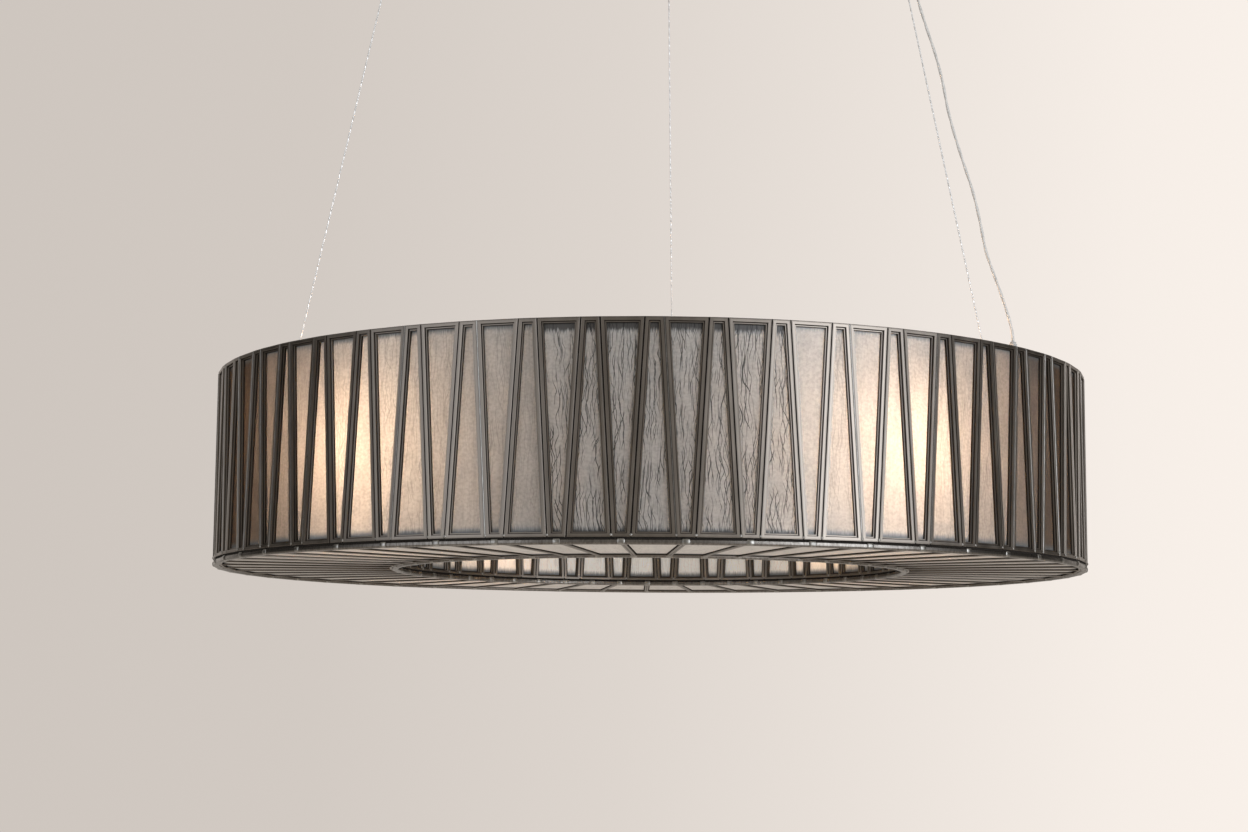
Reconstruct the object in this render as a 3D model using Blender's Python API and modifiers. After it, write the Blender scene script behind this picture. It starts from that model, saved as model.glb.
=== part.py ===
"""Ring pendant of leaded glass: an annular shade of frosted panels, hung on three cables from a canopy.

Metres, +Z up. The origin is the middle of the ceiling bracket's top face, which lies on the ceiling.
An azimuth is counted from the front (-Y) towards the right (+X).
"""

import math

import bmesh
import bpy
import numpy as np
from mathutils import Matrix, Vector

NAME = "ring_chandelier"

# Fits that every piece shares
GAP = 0.0003
OVERRUN = 0.002
MERGE_DISTANCE = 0.00002
SHARP_ANGLE = math.radians(35)
TURN = 2 * math.pi
ROUND_STEPS = 16
SMALL_STEPS = 12
WIDE_STEPS = 48
BALL_POINTS = 6

# Ring of glass
RING_RADIUS = 0.4572
RING_WIDTH = 0.1905
RING_HEIGHT = 0.1995
OUTER_PANEL_PAIRS = 51
INNER_PANEL_PAIRS = 30
OUTER_WIDE_SHARE = 0.70
INNER_WIDE_SHARE = 0.66
OUTER_PATTERN_TURN = math.radians(1.06)
INNER_PATTERN_TURN = 0.0
OUTER_CAME_WIDTH = 0.0054
INNER_CAME_WIDTH = 0.0048
CAME_DEPTH = 0.004
BASE_CAME_WIDTH = 0.0032
BASE_CAME_DEPTH = 0.0022
BASE_RECESS = 0.002
GLASS_THICKNESS = 0.003
RIM_DIAMETER = 0.006
RAIL_WIDTH = 0.005
RAIL_HEIGHT = 0.004
SECTORS = {"right": 60, "back": 180, "left": 300}

# Cross bars under the top rails
BAR_THICKNESS = 0.003
STRUT_WIDTH = 0.020
LAMP_BAR_WIDTH = 0.025
LAMPS = {"front_right": 45, "back_right": 135, "back_left": 225, "front_left": 315}

# Suspension cables, which lean in from the struts to the canopy
ANCHOR_INSET = 0.0612
GRIPPER_INSET = 0.0227
HANG_HEIGHT = 0.550
CABLE_DIAMETER = 0.0016
CABLE_BORE_DIAMETER = 0.0022
CABLE_POINTS = 12
STOP_BALL_DIAMETER = 0.009
STOP_BORE_DEPTH = 0.006
STRUT_HOLE_DIAMETER = 0.0055

# Canopy and ceiling bracket
CANOPY_DIAMETER = 0.600
CANOPY_HEIGHT = 0.032
CANOPY_WALL = 0.0015
CANOPY_CORNER = 0.005
BRACKET_THICKNESS = 0.003
BRACKET_ARM_WIDTH = 0.040
BRACKET_ARM_LENGTH = 0.205
BRACKET_SCREW_RADIUS = 0.110
BRACKET_SCREW_HOLE_DIAMETER = 0.0055
STUD_END_DISTANCE = 0.025
STUD_DIAMETER = 0.005
STUD_PROUD = 0.008
STUD_HOLE_DIAMETER = 0.007
CAP_NUT_DIAMETER = 0.016
CAP_NUT_HEIGHT = 0.012
CAP_NUT_BORE_DIAMETER = 0.0056
CAP_NUT_BORE_DEPTH = 0.009
CAP_NUT_CHAMFER = 0.0025
CAP_NUTS = {"front": 0, "back_right": 120, "back_left": 240}

# Cable grippers: a ball head that swivels in the canopy floor, with a release sleeve below
GRIPPER_BALL_DIAMETER = 0.013
GRIPPER_STEM_DIAMETER = 0.0096
GRIPPER_LENGTH = 0.030
GRIPPER_HOLE_DIAMETER = 0.0118
SLEEVE_POCKET_DIAMETER = 0.0074
SLEEVE_POCKET_DEPTH = 0.008
SLEEVE_DIAMETER = 0.0068
SLEEVE_LENGTH = 0.011
SLEEVE_FLANGE_DIAMETER = 0.0090
SLEEVE_FLANGE_HEIGHT = 0.003
SLEEVE_TRAVEL = 0.0025
CABLE_TAIL = 0.010

# Lampholders and bulbs
NIPPLE_DIAMETER = 0.0098
NIPPLE_PROUD = 0.006
NIPPLE_HOLE_DIAMETER = 0.0106
HOLDER_DIAMETER = 0.038
HOLDER_SHOULDER_DIAMETER = 0.024
HOLDER_SHOULDER_HEIGHT = 0.009
HOLDER_HEIGHT = 0.044
SOCKET_DIAMETER = 0.0274
SOCKET_DEPTH = 0.029
BULB_DIAMETER = 0.060
BULB_LENGTH = 0.108
BULB_CAP_DIAMETER = 0.0262
BULB_CAP_LENGTH = 0.0255
BULB_CAP_NECK = 0.004
BULB_CONTACT_DIAMETER = 0.010
BULB_CAP_CLEARANCE = 0.0015
BULB_NECK_DIAMETER = 0.0300
BULB_NECK_END = 0.036
BULB_ARC = (25, 5, -15, -35, -55, -75)

# Junction box under the right-hand strut, and the cord grips
CORD_DIAMETER = 0.003
CORD_BORE_DIAMETER = 0.0038
CORD_POINTS = 56
CORD_STUB = 0.006
CORD_INLET_INSET = 0.0332
CORD_OUTLET_OFFSET = 0.017
GRIP_DIAMETER = 0.013
GRIP_TIP_DIAMETER = 0.0062
GRIP_COLLAR_HEIGHT = 0.005
GRIP_LENGTH = 0.018
GRIP_SPIGOT_DIAMETER = 0.008
GRIP_SPIGOT_PROUD = 0.0015
GRIP_HOLE_DIAMETER = 0.0088
BOX_LENGTH = 0.036
BOX_WIDTH = 0.028
BOX_HEIGHT = 0.018
BOX_WALL = 0.0015
LID_THICKNESS = 0.0015
STRIP_LENGTH = 0.024
STRIP_WIDTH = 0.014
STRIP_HEIGHT = 0.008
BLOCK_LENGTH = 0.028
BLOCK_WIDTH = 0.018
BLOCK_HEIGHT = 0.014
CORD_TAIL_POCKET = 0.004

# Leads inside the ring
LEAD_DIAMETER = 0.004
LEAD_DROP = 0.0135
LEAD_WALL_DISTANCE = 0.0188
LEAD_SIDE_STEP = 0.007
LEAD_BEND = 0.040
LEAD_STUB = 0.005
LEAD_SPACING = 0.022
LEAD_TURN_STEP = 15

# Heights that follow from the sizes above
CANOPY_FLOOR = -CANOPY_HEIGHT + CANOPY_WALL
RING_TOP = -CANOPY_HEIGHT - HANG_HEIGHT
RING_BOTTOM = RING_TOP - RING_HEIGHT
WALL_BOTTOM = RING_BOTTOM + RIM_DIAMETER + GAP
BASE_BOTTOM = RING_BOTTOM + BASE_RECESS
BASE_GLASS_BOTTOM = BASE_BOTTOM + BASE_CAME_DEPTH + GAP
BAR_TOP = RING_TOP - RAIL_HEIGHT - GAP
BAR_BOTTOM = BAR_TOP - BAR_THICKNESS

# Radii that follow: the wall glass lies behind its came frame, and the bars end at the glass
INNER_RADIUS = RING_RADIUS - RING_WIDTH
OUTER_GLASS_RADIUS = RING_RADIUS - CAME_DEPTH - GAP
INNER_GLASS_RADIUS = INNER_RADIUS + CAME_DEPTH + GAP
LAMP_RADIUS = (RING_RADIUS + INNER_RADIUS) / 2
ANCHOR_RADIUS = RING_RADIUS - ANCHOR_INSET
GRIPPER_RADIUS = CANOPY_DIAMETER / 2 - GRIPPER_INSET
STUD_CIRCLE_RADIUS = BRACKET_ARM_LENGTH - STUD_END_DISTANCE
CABLE_LEAN_SHARE = (ANCHOR_RADIUS - GRIPPER_RADIUS) / (CANOPY_FLOOR - BAR_TOP)
CORD_INLET_RADIUS = RING_RADIUS - CORD_INLET_INSET
LEAD_RADIUS = INNER_RADIUS + LEAD_WALL_DISTANCE

# The power cord's route, bottom to top: out of the ring's grip, up beside the right cable with the
# waves it keeps from its reel, and straight into the canopy's grip
CORD_ROUTE = [
    (0.3672, -0.2120, -0.5970),
    (0.3672, -0.2120, -0.5860),
    (0.3672, -0.2120, -0.5750),
    (0.3669, -0.2118, -0.5620),
    (0.3650, -0.2104, -0.5500),
    (0.3586, -0.2058, -0.5250),
    (0.3510, -0.2006, -0.5000),
    (0.3437, -0.1958, -0.4750),
    (0.3388, -0.1908, -0.4450),
    (0.3330, -0.1856, -0.4150),
    (0.3247, -0.1808, -0.3850),
    (0.3166, -0.1760, -0.3550),
    (0.3099, -0.1707, -0.3250),
    (0.3053, -0.1653, -0.2950),
    (0.2987, -0.1602, -0.2650),
    (0.2902, -0.1552, -0.2350),
    (0.2824, -0.1502, -0.2050),
    (0.2771, -0.1450, -0.1750),
    (0.2710, -0.1398, -0.1450),
    (0.2630, -0.1346, -0.1150),
    (0.2554, -0.1290, -0.0850),
    (0.2502, -0.1250, -0.0640),
    (0.2487, -0.1239, -0.0500),
    (0.2486, -0.1239, -0.0380),
    (0.2486, -0.1239, -0.0260),
]


def clear_scene():
    for found in list(bpy.data.objects):
        bpy.data.objects.remove(found, do_unlink=True)


def new_collection(name, hidden=False):
    made = bpy.data.collections.new(name)
    bpy.context.scene.collection.children.link(made)
    made.hide_render = hidden
    return made


def new_material(name, colour, roughness, metallic=0.0, alpha=1.0):
    made = bpy.data.materials.new(name)
    made.use_nodes = True
    shader = made.node_tree.nodes["Principled BSDF"]
    shader.inputs["Base Color"].default_value = (*colour, 1.0)
    shader.inputs["Roughness"].default_value = roughness
    shader.inputs["Metallic"].default_value = metallic
    shader.inputs["Alpha"].default_value = alpha
    made.diffuse_color = (*colour, alpha)
    return made


def polar(radius, azimuth, height=0.0):
    """The point at this distance from the axis, azimuth from the front and height."""
    return Vector((radius * math.sin(azimuth), -radius * math.cos(azimuth), height))


def radial_frame(azimuth, radius=0.0, height=0.0):
    """A frame on a spoke of the ring: local X points outwards along it and local Z up."""
    turn = Matrix.Rotation(azimuth - math.pi / 2, 4, "Z")
    return Matrix.Translation(polar(radius, azimuth, height)) @ turn


def cable_radius(height):
    """The distance of a cable from the ring's axis at this height."""
    return GRIPPER_RADIUS + (CANOPY_FLOOR - height) * CABLE_LEAN_SHARE


def cable_frame(azimuth, height):
    """A frame on a cable: local Z runs up along it."""
    tilt = Matrix.Rotation(-math.atan(CABLE_LEAN_SHARE), 4, "Y")
    return radial_frame(azimuth, cable_radius(height), height) @ tilt


def add(name, data, material, frame=None, group=None):
    """A new object in the part's collection, or in another one."""
    made = bpy.data.objects.new(name, data)
    made.matrix_world = frame or Matrix.Identity(4)
    if material:
        data.materials.append(material)
    (group or PARTS).objects.link(made)
    return made


def settle(made):
    """Puts the result of the modifiers, or of a curve's bevel, into a mesh that is shaded smooth."""
    bpy.context.view_layer.update()
    graph = bpy.context.evaluated_depsgraph_get()
    mesh = bpy.data.meshes.new_from_object(made.evaluated_get(graph))
    work = bmesh.new()
    work.from_mesh(mesh)
    bmesh.ops.remove_doubles(work, verts=work.verts, dist=MERGE_DISTANCE)
    work.to_mesh(mesh)
    work.free()
    mesh.shade_smooth()
    mesh.set_sharp_from_angle(angle=SHARP_ANGLE)
    name, frame, groups = made.name, made.matrix_world.copy(), list(made.users_collection)
    bpy.data.objects.remove(made, do_unlink=True)
    settled = bpy.data.objects.new(name, mesh)
    settled.matrix_world = frame
    for group in groups:
        group.objects.link(settled)
    return settled


def turned(name, profile, material, frame, steps=ROUND_STEPS):
    """A profile of (radius, height) points turned about local Z, outer side running down."""
    mesh = bpy.data.meshes.new(name)
    points = [(radius, 0.0, height) for radius, height in profile]
    ends = [(i, i + 1) for i in range(len(points) - 1)]
    if profile[0][0] > 0 and profile[-1][0] > 0:
        ends.append((len(points) - 1, 0))
    mesh.from_pydata(points, ends, [])
    made = add(name, mesh, material, frame)
    screw = made.modifiers.new("turn", "SCREW")
    screw.steps = steps
    screw.render_steps = steps
    screw.use_merge_vertices = True
    screw.merge_threshold = MERGE_DISTANCE
    return settle(made)


def tube(name, points, diameter, material, closed=False, resolution=2):
    """A round tube along straight runs between the points."""
    curve = bpy.data.curves.new(name, "CURVE")
    curve.dimensions = "3D"
    curve.bevel_depth = diameter / 2
    curve.bevel_resolution = resolution
    curve.use_fill_caps = not closed
    spline = curve.splines.new("POLY")
    spline.points.add(len(points) - 1)
    for knot, point in zip(spline.points, points):
        knot.co = (*point, 1.0)
    spline.use_cyclic_u = closed
    spline.use_smooth = True
    return add(name, curve, material)


def plate(name, outlines, thickness, material, frame):
    """A flat plate with its underside on the frame's XY plane; outlines after the first are holes."""
    curve = bpy.data.curves.new(name, "CURVE")
    curve.dimensions = "2D"
    curve.fill_mode = "BOTH"
    curve.extrude = thickness / 2
    for outline in outlines:
        spline = curve.splines.new("POLY")
        spline.points.add(len(outline) - 1)
        for knot, (x, y) in zip(spline.points, outline):
            knot.co = (x, y, 0.0, 1.0)
        spline.use_cyclic_u = True
    lift = Matrix.Translation((0.0, 0.0, thickness / 2))
    return settle(add(name, curve, material, frame @ lift))


def block(name, size, material, frame, group=None):
    """A box with its middle at the frame's origin."""
    work = bmesh.new()
    bmesh.ops.create_cube(work, size=1.0, matrix=Matrix.Diagonal((*size, 1.0)))
    mesh = bpy.data.meshes.new(name)
    work.to_mesh(mesh)
    work.free()
    return add(name, mesh, material, frame, group)


def rod(name, diameter, length, frame, steps=ROUND_STEPS):
    """A plain cylinder along local Z, middle at the frame's origin, to cut or to join."""
    work = bmesh.new()
    bmesh.ops.create_cone(
        work,
        cap_ends=True,
        segments=steps,
        radius1=diameter / 2,
        radius2=diameter / 2,
        depth=length,
    )
    mesh = bpy.data.meshes.new(name)
    work.to_mesh(mesh)
    work.free()
    return add(name, mesh, None, frame, CUTTERS)


def combine(made, others, operation):
    """The object with the others cut out of it or joined to it."""
    for other in others:
        other.display_type = "WIRE"
        other.hide_render = True
        joint = made.modifiers.new(operation.lower(), "BOOLEAN")
        joint.operation = operation
        joint.object = other
    return settle(made)


def circle(diameter, centre=(0.0, 0.0), steps=ROUND_STEPS):
    """Outline points of a round hole."""
    angles = TURN * np.arange(steps) / steps
    radius = diameter / 2
    return [(centre[0] + radius * math.cos(a), centre[1] + radius * math.sin(a)) for a in angles]


def polygon(radius, corners, turn=0.0):
    """Outline points of a regular ring polygon, seen from above."""
    return [tuple(polar(radius, turn + TURN * k / corners)[:2]) for k in range(corners)]


def smooth_route(points, count, stub):
    """Points along the Catmull-Rom curve through the given ones: its ends, and the others evenly
    from a short stub inside each end, so that the end runs stay straight.
    """
    knots = np.array([2 * points[0] - points[1], *points, 2 * points[-1] - points[-2]], float)
    shares = np.arange(ROUND_STEPS)[:, None] / ROUND_STEPS
    runs = []
    for a, b, c, d in zip(knots, knots[1:], knots[2:], knots[3:]):
        linear = (c - a) / 2 * shares
        square = (2 * a - 5 * b + 4 * c - d) / 2 * shares**2
        cubic = (3 * b - a - 3 * c + d) / 2 * shares**3
        runs.append(b + linear + square + cubic)
    dense = np.vstack([*runs, knots[-2:-1]])
    lengths = np.concatenate([[0.0], np.cumsum(np.linalg.norm(np.diff(dense, axis=0), axis=1))])
    places = [0.0, *np.linspace(stub, lengths[-1] - stub, count - 2), lengths[-1]]
    return [Vector([np.interp(s, lengths, dense[:, k]) for k in range(3)]) for s in places]


def seam_azimuths(index, pairs, wide_share, turn):
    """Azimuths of a zigzag seam's top and bottom ends.

    Even seams start a panel that is wide at the top, odd ones a panel that is wide at the bottom.
    """
    pitch = TURN / pairs
    middle = turn + pitch * (index // 2)
    wide, narrow = pitch * wide_share / 2, pitch * (1 - wide_share) / 2
    if index % 2 == 0:
        return middle - wide, middle - narrow
    return middle + wide, middle + narrow


def wall_faces(radius, pairs, wide_share, turn, top, bottom, first=0, count=None, slack=0.0):
    """Mesh with one flat trapezoid for each panel from seam `first` on, facing outwards.

    Its top and bottom edges lie on the panel lines between the ring's full height. Slack draws the
    two end seams of an open run inwards along the wall.
    """
    closed = count is None
    count = 2 * pairs if closed else count
    work = bmesh.new()
    rows = []
    for step in range(count if closed else count + 1):
        high, low = seam_azimuths(first + step, pairs, wide_share, turn)
        shift = 0.0
        if not closed and step in (0, count):
            shift = slack / radius if step == 0 else -slack / radius
        full_top = polar(radius, high + shift, RING_TOP)
        full_bottom = polar(radius, low + shift, WALL_BOTTOM)
        span = RING_TOP - WALL_BOTTOM
        ends = [full_top.lerp(full_bottom, (RING_TOP - z) / span) for z in (top, bottom)]
        rows.append([work.verts.new(end) for end in ends])
    for step in range(count):
        left, right = rows[step], rows[(step + 1) % len(rows)]
        work.faces.new((left[0], left[1], right[1], right[0]))
    work.normal_update()
    return work


def base_faces(outer, inner, height, turn, first=0, count=None, slack=0.0):
    """Mesh with one flat panel for each bay of the underside, facing down."""
    closed = count is None
    count = OUTER_PANEL_PAIRS if closed else count
    work = bmesh.new()
    rows = []
    for step in range(count if closed else count + 1):
        azimuth = turn + TURN * (first + step) / OUTER_PANEL_PAIRS
        side = slack if step == 0 else -slack
        side = side if not closed and step in (0, count) else 0.0
        along = Vector((math.cos(azimuth), math.sin(azimuth), 0.0)) * side
        ends = (polar(outer, azimuth, height) + along, polar(inner, azimuth, height) + along)
        rows.append([work.verts.new(end) for end in ends])
    for step in range(count):
        left, right = rows[step], rows[(step + 1) % len(rows)]
        work.faces.new((left[0], left[1], right[1], right[0]))
    work.normal_update()
    return work


def shell(name, work, thickness, material):
    """The mesh given a wall on the side away from its faces' normals."""
    mesh = bpy.data.meshes.new(name)
    work.to_mesh(mesh)
    work.free()
    made = add(name, mesh, material)
    wall = made.modifiers.new("wall", "SOLIDIFY")
    wall.thickness = thickness
    wall.offset = -1.0
    wall.use_even_offset = True
    wall.use_quality_normals = True
    return made


def came_lattice(name, work, came_width, depth, material):
    """Came frames round every panel, joined to their neighbours along the seams."""
    panes = work.faces[:]
    bmesh.ops.inset_individual(work, faces=panes, thickness=came_width, use_even_offset=True)
    bmesh.ops.delete(work, geom=panes, context="FACES_ONLY")
    return shell(name, work, depth, material)


def flip(work):
    bmesh.ops.reverse_faces(work, faces=work.faces[:])
    work.normal_update()
    return work


def outer_glass_back():
    """Least distance from the axis to the back of the outer wall's glass."""
    half_angle = TURN / OUTER_PANEL_PAIRS * OUTER_WIDE_SHARE / 2
    return OUTER_GLASS_RADIUS * math.cos(half_angle) - GLASS_THICKNESS


def inner_glass_back():
    """Greatest distance from the axis to the back of the inner wall's glass."""
    half_angle = TURN / INNER_PANEL_PAIRS * INNER_WIDE_SHARE / 2
    return INNER_GLASS_RADIUS + GLASS_THICKNESS / math.cos(half_angle)


def make_walls():
    outer = (OUTER_PANEL_PAIRS, OUTER_WIDE_SHARE, OUTER_PATTERN_TURN)
    inner = (INNER_PANEL_PAIRS, INNER_WIDE_SHARE, INNER_PATTERN_TURN)
    work = wall_faces(RING_RADIUS, *outer, RING_TOP, WALL_BOTTOM)
    came_lattice("outer_frame", work, OUTER_CAME_WIDTH, CAME_DEPTH, PEWTER)
    work = flip(wall_faces(INNER_RADIUS, *inner, RING_TOP, WALL_BOTTOM))
    came_lattice("inner_frame", work, INNER_CAME_WIDTH, CAME_DEPTH, PEWTER)
    for place, name in enumerate(SECTORS):
        span = (BAR_TOP, WALL_BOTTOM)
        run = 2 * OUTER_PANEL_PAIRS // len(SECTORS)
        work = wall_faces(OUTER_GLASS_RADIUS, *outer, *span, place * run, run, GAP / 2)
        shell("outer_glass_" + name, work, GLASS_THICKNESS, GLASS)
        run = 2 * INNER_PANEL_PAIRS // len(SECTORS)
        work = wall_faces(INNER_GLASS_RADIUS, *inner, *span, place * run, run, GAP / 2)
        shell("inner_glass_" + name, flip(work), GLASS_THICKNESS, GLASS)


def make_base():
    inset = RIM_DIAMETER + GAP
    work = base_faces(RING_RADIUS - inset, INNER_RADIUS + inset, BASE_BOTTOM, OUTER_PATTERN_TURN)
    came_lattice("bottom_frame", work, BASE_CAME_WIDTH, BASE_CAME_DEPTH, PEWTER)
    outer = outer_glass_back() - GAP
    inner = (inner_glass_back() + GAP) / math.cos(TURN / OUTER_PANEL_PAIRS / 2)
    run = OUTER_PANEL_PAIRS // len(SECTORS)
    for place, name in enumerate(SECTORS):
        span = (place * run, run, GAP / 2)
        work = base_faces(outer, inner, BASE_GLASS_BOTTOM, OUTER_PATTERN_TURN, *span)
        shell("bottom_glass_" + name, work, GLASS_THICKNESS, GLASS)


def make_rims():
    middle = RING_BOTTOM + RIM_DIAMETER / 2
    for name, radius in (
        ("outer_rim", RING_RADIUS - RIM_DIAMETER / 2),
        ("inner_rim", INNER_RADIUS + RIM_DIAMETER / 2),
    ):
        ring = polygon(radius, OUTER_PANEL_PAIRS, OUTER_PATTERN_TURN)
        tube(name, [(x, y, middle) for x, y in ring], RIM_DIAMETER, PEWTER, True, 1)


def make_rails():
    half_angle = TURN / OUTER_PANEL_PAIRS / 2
    outside = (RING_RADIUS - GAP) * math.cos(half_angle) - CAME_DEPTH
    inside = (INNER_RADIUS + CAME_DEPTH + GAP) / math.cos(TURN / INNER_PANEL_PAIRS / 4)
    frame = Matrix.Translation((0.0, 0.0, RING_TOP - RAIL_HEIGHT))
    outlines = [
        polygon(outside, OUTER_PANEL_PAIRS),
        polygon(outside - RAIL_WIDTH, OUTER_PANEL_PAIRS),
    ]
    plate("outer_top_rail", outlines, RAIL_HEIGHT, PEWTER, frame)
    outlines = [
        polygon(inside + RAIL_WIDTH, 2 * INNER_PANEL_PAIRS),
        polygon(inside, 2 * INNER_PANEL_PAIRS),
    ]
    plate("inner_top_rail", outlines, RAIL_HEIGHT, PEWTER, frame)


def cross_bar(name, azimuth, width, holes):
    """A flat bar along a spoke, from glass to glass, with round holes at (radius, diameter)."""
    half = width / 2
    outer = math.sqrt((outer_glass_back() - GAP) ** 2 - half**2)
    inner = inner_glass_back() + GAP
    outline = [(inner, -half), (outer, -half), (outer, half), (inner, half)]
    outlines = [outline, *[circle(diameter, (radius, 0.0)) for radius, diameter in holes]]
    plate(name, outlines, BAR_THICKNESS, STEEL, radial_frame(azimuth, height=BAR_BOTTOM))


def make_bars():
    for name, degrees in SECTORS.items():
        holes = [(cable_radius(BAR_BOTTOM), STRUT_HOLE_DIAMETER)]
        if name == "right":
            holes.append((CORD_INLET_RADIUS, GRIP_HOLE_DIAMETER))
        cross_bar("strut_" + name, math.radians(degrees), STRUT_WIDTH, holes)
    for name, degrees in LAMPS.items():
        holes = [(LAMP_RADIUS, NIPPLE_HOLE_DIAMETER)]
        cross_bar("lamp_bar_" + name, math.radians(degrees), LAMP_BAR_WIDTH, holes)


def make_lamps():
    """Lampholders hung under their bars by a threaded nipple, and the bulbs screwed into them."""
    nipple, shoulder = NIPPLE_DIAMETER / 2, HOLDER_SHOULDER_DIAMETER / 2
    body, socket = HOLDER_DIAMETER / 2, SOCKET_DIAMETER / 2
    holder = [
        (0.0, BAR_THICKNESS + NIPPLE_PROUD),
        (nipple, BAR_THICKNESS + NIPPLE_PROUD),
        (nipple, -GAP),
        (shoulder, -GAP),
        (body, -HOLDER_SHOULDER_HEIGHT),
        (body, -HOLDER_HEIGHT),
        (socket, -HOLDER_HEIGHT),
        (socket, -HOLDER_HEIGHT + SOCKET_DEPTH),
        (0.0, -HOLDER_HEIGHT + SOCKET_DEPTH),
    ]
    for name, degrees in LAMPS.items():
        azimuth = math.radians(degrees)
        frame = radial_frame(azimuth, LAMP_RADIUS, BAR_BOTTOM)
        turned("lampholder_" + name, holder, PHENOLIC, frame)
        top = BAR_BOTTOM - HOLDER_HEIGHT + SOCKET_DEPTH - BULB_CAP_CLEARANCE
        frame = radial_frame(azimuth, LAMP_RADIUS, top)
        turned("bulb_" + name, bulb_profile(), BULB, frame)


def bulb_profile():
    """Cap up: contact, screw cap, a neck that flares, and the round end."""
    globe = BULB_DIAMETER / 2
    centre = -(BULB_LENGTH - globe)
    neck = BULB_NECK_DIAMETER / 2
    cap = BULB_CAP_DIAMETER / 2
    contact = BULB_CONTACT_DIAMETER / 2
    profile = [(0.0, 0.0), (contact, 0.0), (cap, -BULB_CAP_NECK), (cap, -BULB_CAP_LENGTH)]
    profile.append((neck, -BULB_NECK_END))
    for degrees in BULB_ARC:
        angle = math.radians(degrees)
        profile.append((globe * math.cos(angle), centre + globe * math.sin(angle)))
    profile.append((0.0, -BULB_LENGTH))
    return profile


def make_cables():
    """Ball stops under the struts, the cables, and their grippers in the canopy floor."""
    ball, bore = STOP_BALL_DIAMETER / 2, CABLE_BORE_DIAMETER / 2
    stop = [(0.0, ball - STOP_BORE_DEPTH), (bore, ball - STOP_BORE_DEPTH)]
    start = math.acos(bore / ball)
    for angle in np.linspace(start, -math.pi / 2, BALL_POINTS)[:-1]:
        stop.append((ball * math.cos(angle), ball * math.sin(angle)))
    stop.append((0.0, -ball))
    low = BAR_BOTTOM - ball - GAP
    high = CANOPY_FLOOR + GRIPPER_BALL_DIAMETER / 2 + GAP
    for name, degrees in SECTORS.items():
        azimuth = math.radians(degrees)
        turned("cable_stop_" + name, stop, STEEL, cable_frame(azimuth, low), SMALL_STEPS)
        lower = cable_frame(azimuth, low) @ Vector((0.0, 0.0, ball - STOP_BORE_DEPTH + GAP))
        upper = cable_frame(azimuth, high) @ Vector((0.0, 0.0, CABLE_TAIL))
        run = [lower.lerp(upper, k / (CABLE_POINTS - 1)) for k in range(CABLE_POINTS)]
        tube("cable_" + name, run, CABLE_DIAMETER, STAINLESS)
        make_gripper(name, cable_frame(azimuth, high))


def make_gripper(name, frame):
    """A ball-headed gripper on the cable's line, with the sleeve that frees the cable when pushed up."""
    ball, stem = GRIPPER_BALL_DIAMETER / 2, GRIPPER_STEM_DIAMETER / 2
    bore, pocket = CABLE_BORE_DIAMETER / 2, SLEEVE_POCKET_DIAMETER / 2
    gripper = []
    for angle in np.linspace(math.acos(bore / ball), -math.acos(stem / ball), BALL_POINTS):
        gripper.append((ball * math.cos(angle), ball * math.sin(angle)))
    gripper += [
        (stem, -GRIPPER_LENGTH),
        (pocket, -GRIPPER_LENGTH),
        (pocket, -GRIPPER_LENGTH + SLEEVE_POCKET_DEPTH),
        (bore, -GRIPPER_LENGTH + SLEEVE_POCKET_DEPTH),
    ]
    turned("gripper_" + name, gripper, NICKEL, frame, SMALL_STEPS)
    sleeve, flange = SLEEVE_DIAMETER / 2, SLEEVE_FLANGE_DIAMETER / 2
    bottom = -GRIPPER_LENGTH - SLEEVE_TRAVEL - GAP - SLEEVE_FLANGE_HEIGHT
    profile = [
        (sleeve, SLEEVE_LENGTH),
        (sleeve, SLEEVE_FLANGE_HEIGHT),
        (flange, SLEEVE_FLANGE_HEIGHT),
        (flange, 0.0),
        (bore, 0.0),
        (bore, SLEEVE_LENGTH),
    ]
    lowered = frame @ Matrix.Translation((0.0, 0.0, bottom))
    turned("release_sleeve_" + name, profile, BRASS, lowered, SMALL_STEPS)


def cord_outlet():
    """Frame of the hole in the canopy floor that the power cord goes through."""
    azimuth = math.radians(SECTORS["right"])
    beside = radial_frame(azimuth, cable_radius(CANOPY_FLOOR))
    return beside @ Matrix.Translation((0.0, CORD_OUTLET_OFFSET, 0.0))


def cord_grip(name, spigot, frame):
    """A tapered cord grip that stands on local Z, with its spigot below through the sheet."""
    bore, neck = CORD_BORE_DIAMETER / 2, GRIP_SPIGOT_DIAMETER / 2
    wide, tip = GRIP_DIAMETER / 2, GRIP_TIP_DIAMETER / 2
    profile = [
        (tip, GRIP_LENGTH),
        (wide, GRIP_COLLAR_HEIGHT),
        (wide, GAP),
        (neck, GAP),
        (neck, -spigot),
        (bore, -spigot),
        (bore, GRIP_LENGTH),
    ]
    turned(name, profile, RUBBER, frame)


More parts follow.
